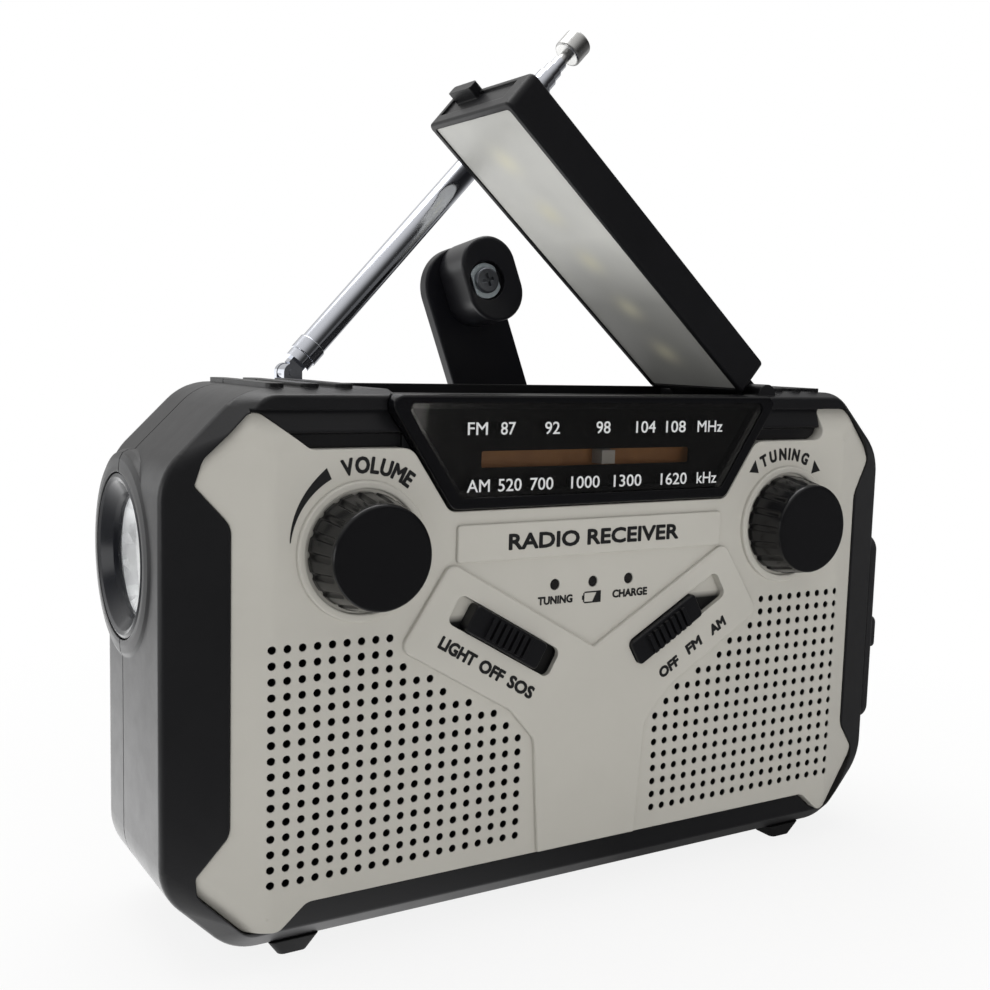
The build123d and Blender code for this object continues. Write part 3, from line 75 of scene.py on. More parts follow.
# ------------------------------------------------------------------ node helpers
class NodeTree:
    """Short ways to write the shader nodes of a material or a world."""

    def __init__(self, owner, output="OutputMaterial", space="Object"):
        self.owner = owner
        owner.use_nodes = True
        self.tree = owner.node_tree
        self.tree.nodes.clear()
        self.output = self.node(output)
        self.coord = self.node("TexCoord").outputs[space]

    def node(self, kind, *values, props=None, **inputs):
        """New node with its properties, then its inputs by index or by name."""
        node = self.tree.nodes.new("ShaderNode" + kind)
        for key, value in (props or {}).items():
            setattr(node, key, value)
        for key, value in (*enumerate(values), *inputs.items()):
            if value is not None:
                self.put(node, key, value)
        return node

    def put(self, node, key, value):
        """Links or sets one input; a name is lower case with underscores for spaces."""
        if isinstance(key, str):
            wanted = key.replace("_", " ")
            target = next(s for s in node.inputs if s.name.lower() == wanted and s.enabled)
        else:
            target = node.inputs[key]
        if isinstance(value, bpy.types.NodeSocket):
            self.tree.links.new(value, target)
        elif target.type == "RGBA" and len(value) == 3:
            target.default_value = (*value, 1.0)
        else:
            target.default_value = value

    def surface(self, shader):
        """Sends the shader to the output and returns the material or world."""
        self.put(self.output, "surface", shader)
        return self.owner

    def noise(self, scale, detail=3.0, rough=0.5, stretch=None, shift=0.0):
        vector = self.coord
        if stretch:
            vector = self.node("Mapping", vector=vector, scale=stretch).outputs[0]
        if shift:
            place = (shift, shift * 0.7, shift * 1.3)
            vector = self.node("Mapping", vector=vector, location=place).outputs[0]
        return self.node("TexNoise", vector=vector, scale=scale, detail=detail,
                         roughness=rough).outputs[0]

    def ramp(self, factor, stops):
        """Grey ramp; stops are (position, grey)."""
        node = self.node("ValToRGB", factor)
        elements = node.color_ramp.elements
        while len(elements) < len(stops):
            elements.new(0.5)
        for element, (position, grey) in zip(elements, stops):
            element.position = position
            element.color = (grey, grey, grey, 1)
        return node.outputs["Color"]

    def remap(self, value, span=(0.3, 0.7), to=(0.0, 1.0), kind="LINEAR"):
        """Maps span onto to, clamped; the default span is where noise mostly lies."""
        return self.node("MapRange", value=value, from_min=span[0], from_max=span[1],
                         to_min=to[0], to_max=to[1],
                         props=dict(interpolation_type=kind, clamp=True)).outputs["Result"]

    def math(self, operation, a, b=None):
        return self.node("Math", a, b, props=dict(operation=operation)).outputs[0]

    def plus(self, a, b):
        return self.math("ADD", a, b)

    def minus(self, a, b):
        return self.math("SUBTRACT", a, b)

    def times(self, a, b):
        return self.math("MULTIPLY", a, b)

    def vector_math(self, operation, a, b=None):
        return self.node("VectorMath", a, b, props=dict(operation=operation)).outputs

    def mix(self, factor, a, b, blend="MIX"):
        """Colour mix; a Mix node keeps its colours in inputs 6 and 7 and output 2."""
        node = self.node("Mix", factor, props=dict(data_type="RGBA", blend_type=blend))
        self.put(node, 6, a)
        self.put(node, 7, b)
        return node.outputs[2]

    def mottle(self, noise, dark, light):
        return self.mix(self.remap(noise), dark, light)

    def mix_shader(self, factor, a, b):
        return self.node("MixShader", factor, a, b).outputs[0]

    def bevel(self, radius):
        """Normal rounded over the edges, or None for no radius."""
        if not radius:
            return None
        return self.node("Bevel", radius=radius, props=dict(samples=4)).outputs["Normal"]

    def edge(self, rounded):
        """1 on an edge, 0 on a flat, from the rounded normal."""
        true_normal = self.node("NewGeometry").outputs["Normal"]
        same = self.vector_math("DOT_PRODUCT", rounded, true_normal)["Value"]
        return self.remap(self.minus(1.0, same), span=(0.02, 0.25))

    def bump(self, height, strength, distance, normal=None):
        return self.node("Bump", height=height, strength=strength, distance=distance,
                         normal=normal).outputs[0]

    def principled(self, **inputs):
        return self.node("BsdfPrincipled", **inputs).outputs[0]

    def glow(self, strength):
        return self.node("Emission", color=(1.0, 1.0, 1.0), strength=strength).outputs[0]


def material_tree(name):
    return NodeTree(bpy.data.materials.new(name))


def tinted(colour, gain, lift=0.0):
    return tuple(min(1, c * gain + lift) for c in colour)


# ------------------------------------------------------------------ material families
SMUDGE = 0.08   # share by which patches change the roughness of plastic


def plastic(name, colour, rough, bevel=0.0003, grain=0.35, grain_mm=0.35, vary=0.06, wear=0.12,
            wear_colour=None, spec=0.5, coat=0.0, coat_rough=0.1, sheen=0.0, shade=None):
    """Moulded plastic: fine grain, faint flow variation and softly polished edges.

    bevel is the edge radius in metres, grain the bump strength, vary the colour change,
    wear the edge wear, and shade a function that recolours the finished base."""
    t = material_tree(name)
    rounded = t.bevel(bevel)
    fine = t.noise(scale=1.0 / (grain_mm * MM), detail=2.0, rough=0.6)
    flow = t.noise(scale=38.0, rough=0.55, shift=0.37)
    patch = t.noise(scale=210.0, detail=4.0, rough=0.6, shift=1.7)
    base = t.mottle(flow, dark=tinted(colour, 1 - vary), light=tinted(colour, 1 + vary))
    patchy = t.times(t.remap(patch, span=(0.35, 0.75)), vary * 1.2)
    base = t.mix(patchy, base, tinted(colour, gain=1.25))
    finish = t.remap(patch, span=(0.25, 0.75), to=(rough * (1 - SMUDGE), rough * (1 + SMUDGE)))
    if wear:
        worn = t.times(t.edge(rounded), t.remap(patch, span=(0.3, 0.6), to=(0.5, 1.0)))
        worn_colour = wear_colour or tinted(colour, gain=1.35, lift=0.02)
        base = t.mix(t.times(worn, wear), base, worn_colour)
        finish = t.minus(finish, t.times(worn, rough * 0.15))
    if shade:
        base = shade(t, base)
    extra = {}
    if coat:
        extra.update(coat_weight=coat, coat_roughness=coat_rough, coat_normal=rounded)
    if sheen:
        extra.update(sheen_weight=sheen, sheen_roughness=0.5)
    normal = t.bump(fine, strength=grain, distance=0.00004, normal=rounded)
    return t.surface(t.principled(base_color=base, roughness=finish, normal=normal,
                                  specular_ior_level=spec, **extra))


# Where the speaker holes lie, metres, for the painted shade in them
FLAT_HALF = 0.0719              # from the middle to where the front starts to sweep back
SWEEP = 0.345                   # depth gained per distance beyond that
PAINTED_HOLE_SHADE_DEPTH = (0.00010, 0.00030)  # depth over which a hole wall turns dark
HOLES_TOP = (ROW_Z + 0.0015, ROW_Z + 0.0030)
HOLES_BOTTOM = (ROW_Z - 0.0485, ROW_Z - 0.0478)
HOLES_SIDE = (0.0762, 0.0768)   # distance from the middle


def painted_hole_shade(t, base):
    """Paints shade on the walls of the speaker holes just behind the face."""
    x, y, z = t.node("SeparateXYZ", t.coord).outputs
    across = t.math("ABSOLUTE", t.plus(x, MIDDLE * MM))
    set_back = t.times(t.math("MAXIMUM", t.minus(across, FLAT_HALF), 0.0), SWEEP)
    deep = t.remap(t.minus(t.minus(y, FRONT), set_back), span=PAINTED_HOLE_SHADE_DEPTH)
    below_top = t.remap(z, span=HOLES_TOP, to=(1.0, 0.0))
    above_bottom = t.remap(z, span=HOLES_BOTTOM)
    inside = t.remap(across, span=HOLES_SIDE, to=(1.0, 0.0))
    mask = t.times(t.times(deep, below_top), t.times(above_bottom, inside))
    # painted shade: the hole walls turn near black behind the face
    return t.mix(mask, base, (0.012, 0.012, 0.012))


def metal(name, colour, rough, bevel=0.0002, brush=(1, 1, 1), vary=0.05, pits=0.0,
          metallic=1.0, scratch=0.03):
    """Metal with fine drawing marks, stretched by brush, and small changes in polish."""
    t = material_tree(name)
    rounded = t.bevel(bevel)
    marks = t.noise(scale=900.0, rough=0.6, stretch=brush)
    cloud = t.noise(scale=120.0, shift=0.9)
    base = t.mottle(cloud, dark=tinted(colour, 1 - vary), light=tinted(colour, 1 + vary))
    finish = t.plus(t.remap(marks, to=(rough * 0.88, rough * 1.14)),
                    t.times(t.remap(cloud, span=(0.55, 0.8)), pits))
    normal = t.bump(marks, strength=scratch, distance=0.00001, normal=rounded)
    return t.surface(t.principled(base_color=base, metallic=metallic, roughness=finish,
                                  normal=normal))


def clear(name, colour, rough, ior=1.49):
    """Clear plastic that lets shadow rays straight through, so what is behind stays lit."""
    t = material_tree(name)
    finish = t.remap(t.noise(scale=500.0, detail=2.0), to=(rough * 0.7, rough * 1.4))
    body = t.principled(base_color=colour, roughness=finish, normal=t.bevel(0.0002), ior=ior,
                        transmission_weight=1.0)
    see_through = t.node("BsdfTransparent", tinted(colour, gain=0.92)).outputs[0]
    ray = t.node("LightPath").outputs
    passing = t.math("MAXIMUM", ray["Is Shadow Ray"], ray["Is Diffuse Ray"])
    return t.surface(t.mix_shader(passing, body, see_through))


PLASTICS = {
    "black_shell": dict(colour=(0.0085, 0.0085, 0.0100), rough=0.36, bevel=0.0004, grain=0.40,
                        grain_mm=0.45, vary=0.10, wear=0.35),
    "bezel_plastic": dict(colour=(0.56, 0.545, 0.50), rough=0.40, grain=0.30, grain_mm=0.40,
                          vary=0.025, wear=0.55, wear_colour=(0.80, 0.79, 0.75), spec=0.3,
                          shade=painted_hole_shade),
    "dial_gloss": dict(colour=(0.004, 0.004, 0.005), rough=0.16, grain=0.05, vary=0.05,
                       wear=0.2, spec=0.25, coat=0.1, coat_rough=0.08),
    "dial_print": dict(colour=(0.003, 0.003, 0.0035), rough=0.5, bevel=0.0, grain=0.05,
                       wear=0, spec=0.1),
    "pointer_plastic": dict(colour=(0.30, 0.29, 0.28), rough=0.5, bevel=0.0002, grain=0.2),
    "foot_rubber": dict(colour=(0.010, 0.010, 0.011), rough=0.75, bevel=0.0004, grain=0.8,
                        grain_mm=0.6, vary=0.15, wear=0.4),
    "cover_rubber": dict(colour=(0.012, 0.012, 0.014), rough=0.68, bevel=0.0004, grain=0.8,
                         grain_mm=0.5, vary=0.12, wear=0.35, sheen=0.1),
    "knob_plastic": dict(colour=(0.0050, 0.0050, 0.0060), rough=0.20, bevel=0.00035,
                         grain=0.05, grain_mm=0.5, wear=0.5,
                         wear_colour=(0.030, 0.030, 0.034), spec=0.35, coat=0.15,
                         coat_rough=0.12),
    "slider_plastic": dict(colour=(0.008, 0.008, 0.0095), rough=0.34, bevel=0.0002, grain=0.2,
                           wear=0.4, spec=0.3),
    "panel_plastic": dict(colour=(0.0085, 0.0085, 0.010), rough=0.38, bevel=0.0004,
                          grain_mm=0.45, vary=0.1, wear=0.35, spec=0.3),
    "crank_plastic": dict(colour=(0.007, 0.007, 0.0095), rough=0.36, bevel=0.0004, grain=0.3,
                          grain_mm=0.45, vary=0.08, wear=0.35, spec=0.25),
    "grip_plastic": dict(colour=(0.0120, 0.0120, 0.0145), rough=0.30, bevel=0.0004,
                         grain=0.10, vary=0.08, wear=0.3, spec=0.35, coat=0.05,
                         coat_rough=0.2),
    "torch_plastic": dict(colour=(0.009, 0.010, 0.014), rough=0.24, grain=0.08, wear=0.25,
                          spec=0.35, coat=0.05, coat_rough=0.15),
    "gear_plastic": dict(colour=(0.72, 0.70, 0.64), rough=0.45, bevel=0.0002, grain=0.2),
    "gear_plate_plastic": dict(colour=(0.03, 0.03, 0.032), rough=0.5, grain=0.4),
    "capacitor_body": dict(colour=(0.70, 0.69, 0.62), rough=0.35, bevel=0.0002, grain=0.2),
    "battery_wrap": dict(colour=(0.03, 0.16, 0.36), rough=0.28, bevel=0.0002, grain=0.15,
                         coat=0.4),
    "speaker_paper": dict(colour=(0.022, 0.021, 0.02), rough=0.9, bevel=0.0, grain=1.0,
                          grain_mm=0.6, vary=0.25, wear=0),
    "led_board_white": dict(colour=(0.72, 0.73, 0.70), rough=0.4, bevel=0.0001, grain=0.1),
}
METALS = {
    "shaft_steel": dict(colour=(0.55, 0.54, 0.52), rough=0.30, brush=(1, 12, 1)),
    "screw_steel": dict(colour=(0.20, 0.21, 0.23), rough=0.34, metallic=0.9),
    "component_metal": dict(colour=(0.60, 0.60, 0.60), rough=0.35),
    "speaker_steel": dict(colour=(0.42, 0.42, 0.43), rough=0.38),
    "copper_wire": dict(colour=(0.72, 0.34, 0.18), rough=0.30, brush=(30, 1, 1)),
    "antenna_chrome": dict(colour=(0.70, 0.72, 0.78), rough=0.12, bevel=0.0,
                           brush=(0.5, 0.5, 0.5), vary=0.03, scratch=0.002),
    "tip_steel": dict(colour=(0.62, 0.62, 0.61), rough=0.28, bevel=0.00025, brush=(1, 60, 1),
                      vary=0.06, scratch=0.01),
    "washer_steel": dict(colour=(0.66, 0.74, 0.78), rough=0.40, bevel=0.00015,
                         brush=(30, 1, 30), metallic=0.65),
}
CLEARS = {
    "clear_window": dict(colour=(0.80, 0.79, 0.77), rough=0.03, ior=1.3),
    "torch_clear": dict(colour=(0.97, 0.98, 0.98), rough=0.04),
    "solar_clear": dict(colour=(0.93, 0.95, 0.96), rough=0.06),
}


# ------------------------------------------------------------------ single materials
def reflector_chrome():
    """Bright metallised bowl with small facets that spread the light, and a painted glow
    standing in for its reflections.
    """
    t = material_tree("reflector_chrome")
    facets = t.node("TexVoronoi", vector=t.coord, scale=420.0).outputs
    tint = t.remap_tint = t.node("RGBToBW", facets["Color"]).outputs[0]
    base = t.mix(t.remap(tint, span=(0.2, 0.8)), (0.84, 0.84, 0.85), (0.95, 0.95, 0.96))
    return t.surface(t.principled(
        base_color=base, metallic=0.6,
        roughness=t.remap(tint, span=(0.2, 0.8), to=(0.14, 0.30)),
        normal=t.bump(facets["Distance"], strength=0.4, distance=0.0002,
                      normal=t.bevel(0.0001)),
        # painted glow: the bowl emits its own colour in place of the bright reflections of the
        # reflector
        emission_color=base,
        emission_strength=t.remap(tint, span=(0.2, 0.8), to=(0.40, 0.62))))


def led_epoxy():
    t = material_tree("led_epoxy")
    base = t.mottle(t.noise(scale=700.0, detail=2.0),
                    dark=(0.004, 0.004, 0.004), light=(0.014, 0.012, 0.011))
    return t.surface(t.principled(base_color=base, roughness=0.18, normal=t.bevel(0.0003),
                                  coat_weight=0.5))


def circuit_board():
    """Green board with tracks along one contour of a noise."""
    t = material_tree("circuit_board")
    wave = t.noise(scale=1600.0, detail=1.0)
    tracks = t.ramp(t.noise(scale=420.0, detail=0.0, rough=0.2, shift=2.1),
                    stops=[(0.0, 0.0), (0.47, 0.0), (0.50, 1.0), (0.53, 0.0)])
    base = t.mottle(wave, dark=(0.010, 0.085, 0.035), light=(0.016, 0.12, 0.05))
    base = t.mix(t.times(tracks, 0.5), base, (0.05, 0.22, 0.09))
    normal = t.bump(wave, strength=0.2, distance=0.00003, normal=t.bevel(0.0002))
    return t.surface(t.principled(base_color=base, roughness=0.35, normal=normal))


def amber_strip():
    """Amber strip with a faint glow."""
    t = material_tree("amber_strip")
    cloud = t.noise(scale=160.0)
    base = t.mottle(cloud, dark=(0.20, 0.085, 0.030), light=(0.28, 0.13, 0.045))
    return t.surface(t.principled(base_color=base, roughness=0.45,
                                  normal=t.bump(cloud, strength=0.1, distance=0.00005),
                                  emission_color=(0.40, 0.19, 0.06), emission_strength=0.03))


def torch_led():
    t = material_tree("torch_led")
    base = t.mottle(t.noise(scale=900.0, detail=2.0),
                    dark=(0.82, 0.72, 0.30), light=(0.90, 0.84, 0.45))
    return t.surface(t.principled(base_color=base, roughness=0.3, normal=t.bevel(0.0003)))


def panel_coords(t):
    """Sockets for the distance along the panel and the depth, millimetres."""
    offset = t.vector_math("SUBTRACT", t.coord, PANEL_ORIGIN)[0]
    return [t.times(t.vector_math("DOT_PRODUCT", offset, axis)["Value"], 1000.0)
            for axis in (PANEL_ALONG, Vector((0, 1, 0)))]


def frosted_diffuser():
    """Frosted sheet: the LEDs behind it show as faint warm spots; painted shade darkens it
    towards the hinge and a painted glow brightens it.
    """
    t = material_tree("frosted_diffuser")
    along, depth = panel_coords(t)

    def squared_distance(value, centre):
        ratio = t.math("DIVIDE", t.minus(value, centre), LED_GLOW_RADIUS)
        return t.math("POWER", ratio, 2.0)

    spots = None
    from_row = squared_distance(depth, LED_DEPTH)
    for place in LED_PLACES:
        reach = t.plus(squared_distance(along, place), from_row)
        spot = t.math("POWER", 2.718, t.times(reach, -1.0))
        spots = spot if spots is None else t.plus(spots, spot)
    fine = t.noise(scale=2600.0, detail=2.0, rough=0.6)
    base = t.mottle(t.noise(scale=55.0, detail=2.0),
                    dark=(0.86, 0.86, 0.82), light=(0.97, 0.97, 0.92))
    # painted light and shade: the sheet is painted brightest before its middle and darker
    # towards the hinge, where the body shades it
    painted_shading = t.ramp(t.remap(along, span=(-91.0, -4.0)),
                  stops=[(0.0, 0.60), (0.42, 0.82), (0.66, 0.36), (1.0, 0.24)])
    base = t.mix(1.0, base, painted_shading, blend="MULTIPLY")
    base = t.mix(t.times(spots, 0.40), base, (0.86, 0.82, 0.58))
    # painted glow: the sheet emits its own colour so that it looks brightly lit; it is no lamp
    return t.surface(t.principled(
        base_color=base, roughness=t.remap(fine, to=(0.34, 0.46)),
        normal=t.bump(fine, strength=0.35, distance=0.00003, normal=t.bevel(0.0002)),
        specular_ior_level=0.6, emission_color=base, emission_strength=0.16))


def solar_silicon():
    """Blue-black silicon with busbars, fine collector fingers and cell gaps."""
    t = material_tree("solar_silicon")
    along, depth = panel_coords(t)

    def lines(value, pitch, width, offset=0.0):
        phase = t.math("FRACT", t.math("DIVIDE", t.plus(value, offset), pitch))
        from_line = t.math("ABSOLUTE", t.minus(phase, 0.5))
        return t.math("LESS_THAN", from_line, width / pitch / 2)

    busbars = lines(along, pitch=13.0, width=0.7, offset=3.0)
    fingers = lines(depth, pitch=1.9, width=0.14)
    gaps = lines(along, pitch=13.0, width=0.5, offset=9.5)
    crystal = t.node("TexVoronoi", vector=t.coord, scale=260.0).outputs["Color"]
    tint = t.node("RGBToBW", crystal).outputs[0]
    base = t.mix(t.remap(tint, span=(0.2, 0.8)), (0.006, 0.010, 0.034), (0.013, 0.024, 0.075))
    base = t.mix(t.times(fingers, 0.35), base, (0.35, 0.36, 0.38))
    base = t.mix(busbars, base, (0.55, 0.56, 0.58))
    base = t.mix(gaps, base, (0.01, 0.01, 0.012))
    finish = t.remap(tint, span=(0.2, 0.8), to=(0.22, 0.38))
    return t.surface(t.principled(base_color=base, roughness=finish, coat_weight=0.4))


def ferrite_black():
    t = material_tree("ferrite_black")
    grit = t.noise(scale=800.0, detail=4.0)
    base = t.mottle(grit, dark=(0.02, 0.02, 0.02), light=(0.05, 0.048, 0.046))
    normal = t.bump(grit, strength=0.4, distance=0.0001, normal=t.bevel(0.0003))
    return t.surface(t.principled(base_color=base, roughness=0.6, normal=normal))


def ink(name, colour, rough=0.45):
    """Printed ink with slightly uneven cover."""
    t = material_tree(name)
    cover = t.noise(scale=1500.0, detail=4.0, rough=0.7)
    base = t.mix(t.remap(cover, span=(0.25, 0.75)), tinted(colour, gain=0.85),
                 tinted(colour, gain=1.1, lift=0.004))
    return t.surface(t.principled(base_color=base,
                                  roughness=t.remap(cover, to=(rough * 0.85, rough * 1.15)),
                                  normal=t.bump(cover, strength=0.2, distance=0.00002)))


# ------------------------------------------------------------------ materials onto the CAD
MATERIALS = {}
for family, looks in ((plastic, PLASTICS), (metal, METALS), (clear, CLEARS)):
    for name, look in looks.items():
        MATERIALS[name] = family(name, **look)
MATERIALS.update({
    "reflector_chrome": reflector_chrome(),
    "led_epoxy": led_epoxy(),
    "circuit_board": circuit_board(),
    "amber_strip": amber_strip(),
    "torch_led": torch_led(),
    "frosted_diffuser": frosted_diffuser(),
    "solar_silicon": solar_silicon(),
    "magnet_ferrite": ferrite_black(),
})
INK_BLACK = ink("ink_black", colour=(0.012, 0.012, 0.013))
INK_WHITE = ink("ink_white", colour=(0.86, 0.87, 0.88))

slot_of = {part["node"]: part["material_slot"] for part in frame["record"]["subparts"]}
for name, obj in frame["nodes"].items():
    slot = slot_of[name]
    obj.data.materials.clear()
    obj.data.materials.append(MATERIALS[slot])

# ------------------------------------------------------------------ printed marks, mm
INK = 0.05          # thickness of a mark
COPY_STEP = 0.006   # added thickness of each overlaid copy of a letter
BOLD = 0.17         # how far the copies of a letter are shifted
LETTER_GAP = 0.16   # space after a letter on an arc, in font units


@functools.cache
def glyphs(text):
    """Verts and faces of a text at size 1, z from -0.5 to 0.5, and its left, right and top."""
    curve = bpy.data.curves.new("tmp_text", "FONT")
    curve.body = text
    curve.size = 1.0
    curve.extrude = 0.5
    curve.resolution_u = 3
    obj = bpy.data.objects.new("tmp_text", curve)
    scene.collection.objects.link(obj)
    depsgraph = bpy.context.evaluated_depsgraph_get()
    mesh = bpy.data.meshes.new_from_object(obj.evaluated_get(depsgraph))
    verts = [v.co.copy() for v in mesh.vertices]
    faces = [tuple(p.vertices) for p in mesh.polygons]
    bpy.data.objects.remove(obj)
    bpy.data.meshes.remove(mesh)
    xs = [v.x for v in verts]
    return verts, faces, min(xs), max(xs), max(v.y for v in verts)


def turned(x, level, across, up, angle):
    """The point (across, up) turned by angle degrees about (x, level)."""
    c, s = math.cos(math.radians(angle)), math.sin(math.radians(angle))
    return x + across * c - up * s, level + across * s + up * c


class Print:
    """Thin marks on the front, gathered into one mesh."""

    def __init__(self):
        self.verts, self.faces = [], []

    def add(self, verts, faces):
        start = len(self.verts)
        self.verts += verts
        self.faces += [tuple(i + start for i in face) for face in faces]

    def plate(self, outline):
        """Closed plate on the front face from an outline of (x, level) points."""
        n = len(outline)
        pairs = zip(outline, outline[1:] + outline[:1])
        area = sum(a[0] * b[1] - b[0] * a[1] for a, b in pairs)
        points = outline if area > 0 else outline[::-1]
        back = [at(x, 0.0, level) for x, level in points]
        front = [at(x, -INK, level) for x, level in points]
        faces = [tuple(range(n, 2 * n)), tuple(reversed(range(n)))]
        faces += [(i, (i + 1) % n, n + (i + 1) % n, n + i) for i in range(n)]
        self.add(back + front, faces)

    def text(self, text, x, level, width, height, depth=0.0, angle=0.0, bold=BOLD):
        """Text centred at (x, level), its capitals height tall, fitted to a width."""
        verts, faces, left, right, _ = glyphs(text)
        *_, cap = glyphs("H")
        scale_across, scale_up = width / (right - left), height / cap
        middle = (left + right) / 2
        slant = 0.72 * bold
        shifts = ((0, 0), (bold, 0), (-bold, 0), (0, bold), (0, -bold),
                  (slant, slant), (-slant, slant), (slant, -slant), (-slant, -slant))
        for i, (shift_across, shift_up) in enumerate(shifts):
            moved = []
            for v in verts:
                across = (v.x - middle) * scale_across + shift_across
                up = (v.y - cap / 2) * scale_up + shift_up
                px, plevel = turned(x, level, across, up, angle)
                moved.append(at(px, depth - (INK + COPY_STEP * i) * (0.5 + v.z), plevel))
            self.add(moved, faces)

    def arc_text(self, text, centre, radius, start, end, height, squeeze):
        """Letters on an arc, the first centred at start degrees and the last at end."""
        *_, cap = glyphs("H")
        widths = []
        for letter in text:
            _, _, left, right, _ = glyphs(letter)
            widths.append(right - left)
        steps = [w + LETTER_GAP for w in widths]
        total = sum(steps) - steps[0] / 2 - steps[-1] / 2
        position = 0.0
        for i, letter in enumerate(text):
            if i:
                position += steps[i - 1] / 2 + steps[i] / 2
            angle = start + (end - start) * position / total
            a = math.radians(angle)
            self.text(letter, centre[0] + radius * math.cos(a),
                      centre[1] + radius * math.sin(a),
                      width=widths[i] * height / cap * squeeze, height=height,
                      angle=angle - 90.0)

    def build(self, name, material):
        mesh = bpy.data.meshes.new(name)
        mesh.from_pydata([tuple(v) for v in self.verts], [], self.faces)
        mesh.validate()
        mesh.update()
        obj = bpy.data.objects.new(name, mesh)
        scene.collection.objects.link(obj)
        mesh.materials.append(material)
        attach(obj, "case")


VOLUME_CENTRE = (-54.0, 17.35)   # knob centres, (x, level)
TUNING_CENTRE = (53.4, 17.35)
WEDGE_STEPS = 24
TRIANGLE = ((-1.45, -1.35), (1.45, -1.35), (0.0, 1.55))
TRIANGLES = ((43.9, 30.9, -5.0), (62.9, 30.5, 12.0))   # x, level, angle
# Words: text, x, level, width
LAMP_WORDS = (("TUNING", -9.8, 4.45, 8.5), ("CHARGE", 9.6, 4.55, 9.2))
LIGHT_WORDS = (("LIGHT", -33.4, -3.9, 9.2), ("OFF", -25.4, -8.7, 6.3),
               ("SOS", -18.3, -12.9, 6.7))
BAND_WORDS = (("OFF", 20.6, -12.9, 5.6), ("FM", 27.4, -8.6, 4.2), ("AM", 34.1, -4.8, 4.4))
SWITCH_DEPTH = -1.0   # the words by the switches stand in front of the front face
TITLE_DEPTH = -0.8
# Battery mark: centre, bars as x and level of two corners, and the slanted half fill
BATTERY = (-0.4, 4.35)
BATTERY_BARS = (
    (-2.0, 0.95, 2.25, 1.25), (-2.0, -1.25, 2.25, -0.95), (-2.3, -1.0, -2.0, 1.0),
    (2.0, -0.95, 2.25, 0.95), (-2.6, -0.45, -2.3, 0.45),
)
BATTERY_FILL = ((0.1, -0.95), (2.0, -0.95), (2.0, 0.95), (1.1, 0.95))
# Dial rows by level: text, left x, right x
DIAL_ROWS = {
    40.3: (("FM", -32.0, -27.5), ("87", -24.4, -21.0), ("92", -13.9, -10.3),
           ("98", -1.1, 2.5), ("104", 9.3, 14.5), ("108", 17.4, 22.8), ("MHz", 26.2, 33.3)),
    28.95: (("AM", -31.9, -26.7), ("520", -24.7, -19.2), ("700", -17.1, -11.5),
            ("1000", -7.0, 0.2), ("1300", 3.9, 11.2), ("1620", 16.5, 23.7),
            ("kHz", 26.6, 32.2)),
}


def volume_wedge(marks):
    """Curved wedge beside the volume knob, thinning as it runs down to the left."""
    def blend(start, end, k):
        return start + (end - start) * k

    def on_arc(radius, a):
        return (VOLUME_CENTRE[0] + radius * math.cos(a),
                VOLUME_CENTRE[1] + radius * math.sin(a))

    outer, inner = [], []
    for i in range(WEDGE_STEPS + 1):
        k = i / WEDGE_STEPS
        a = math.radians(blend(115.5, 171.0, k))
        outer.append(on_arc(blend(17.7, 14.95, k ** 0.8), a))
        inner.append(on_arc(blend(15.35, 14.75, k), a))
    for i in range(WEDGE_STEPS):
        marks.plate([outer[i], outer[i + 1], inner[i + 1], inner[i]])


def battery_mark(marks):
    x, level = BATTERY
    outlines = [((x0, l0), (x1, l0), (x1, l1), (x0, l1)) for x0, l0, x1, l1 in BATTERY_BARS]
    for outline in (*outlines, BATTERY_FILL):
        marks.plate([(x + across, level + up) for across, up in outline])


def control_marks():
    marks = Print()
    marks.arc_text("VOLUME", VOLUME_CENTRE, radius=16.35, start=102.0, end=55.0, height=2.9,
                   squeeze=0.88)
    marks.arc_text("TUNING", TUNING_CENTRE, radius=16.3, start=114.5, end=68.0, height=2.5,
                   squeeze=0.84)
    volume_wedge(marks)
    for x, level, angle in TRIANGLES:
        marks.plate([turned(x, level, across, up, angle) for across, up in TRIANGLE])
    for word in LAMP_WORDS:
        marks.text(*word, height=1.55, bold=0.10)
    battery_mark(marks)
    for word in LIGHT_WORDS:
        marks.text(*word, height=2.35, depth=SWITCH_DEPTH, angle=-31.0)
    for word in BAND_WORDS:
        marks.text(*word, height=2.2, depth=SWITCH_DEPTH, angle=30.5)
    marks.text("RADIO RECEIVER", x=-0.2, level=17.4, width=43.5, height=3.0, depth=TITLE_DEPTH)
    marks.build("control_marks", INK_BLACK)


def dial_figures():
    """Figures printed on the dial window."""
    dial = Print()
    for level, row in DIAL_ROWS.items():
        for text, left, right in row:
            dial.text(text, (left + right) / 2, level, width=right - left, height=2.45,
                      depth=-0.30, bold=0.02)
    dial.build("dial_figures", INK_WHITE)


control_marks()
dial_figures()

# ------------------------------------------------------------------ floor and world
FLOOR_RADIUS = 6.0
FLOOR_SIDES = 48
CARD_LEFT = 2.0   # brightness of the reflected card on the left
FLAG = 0.12       # brightness of the dark reflected flag in front


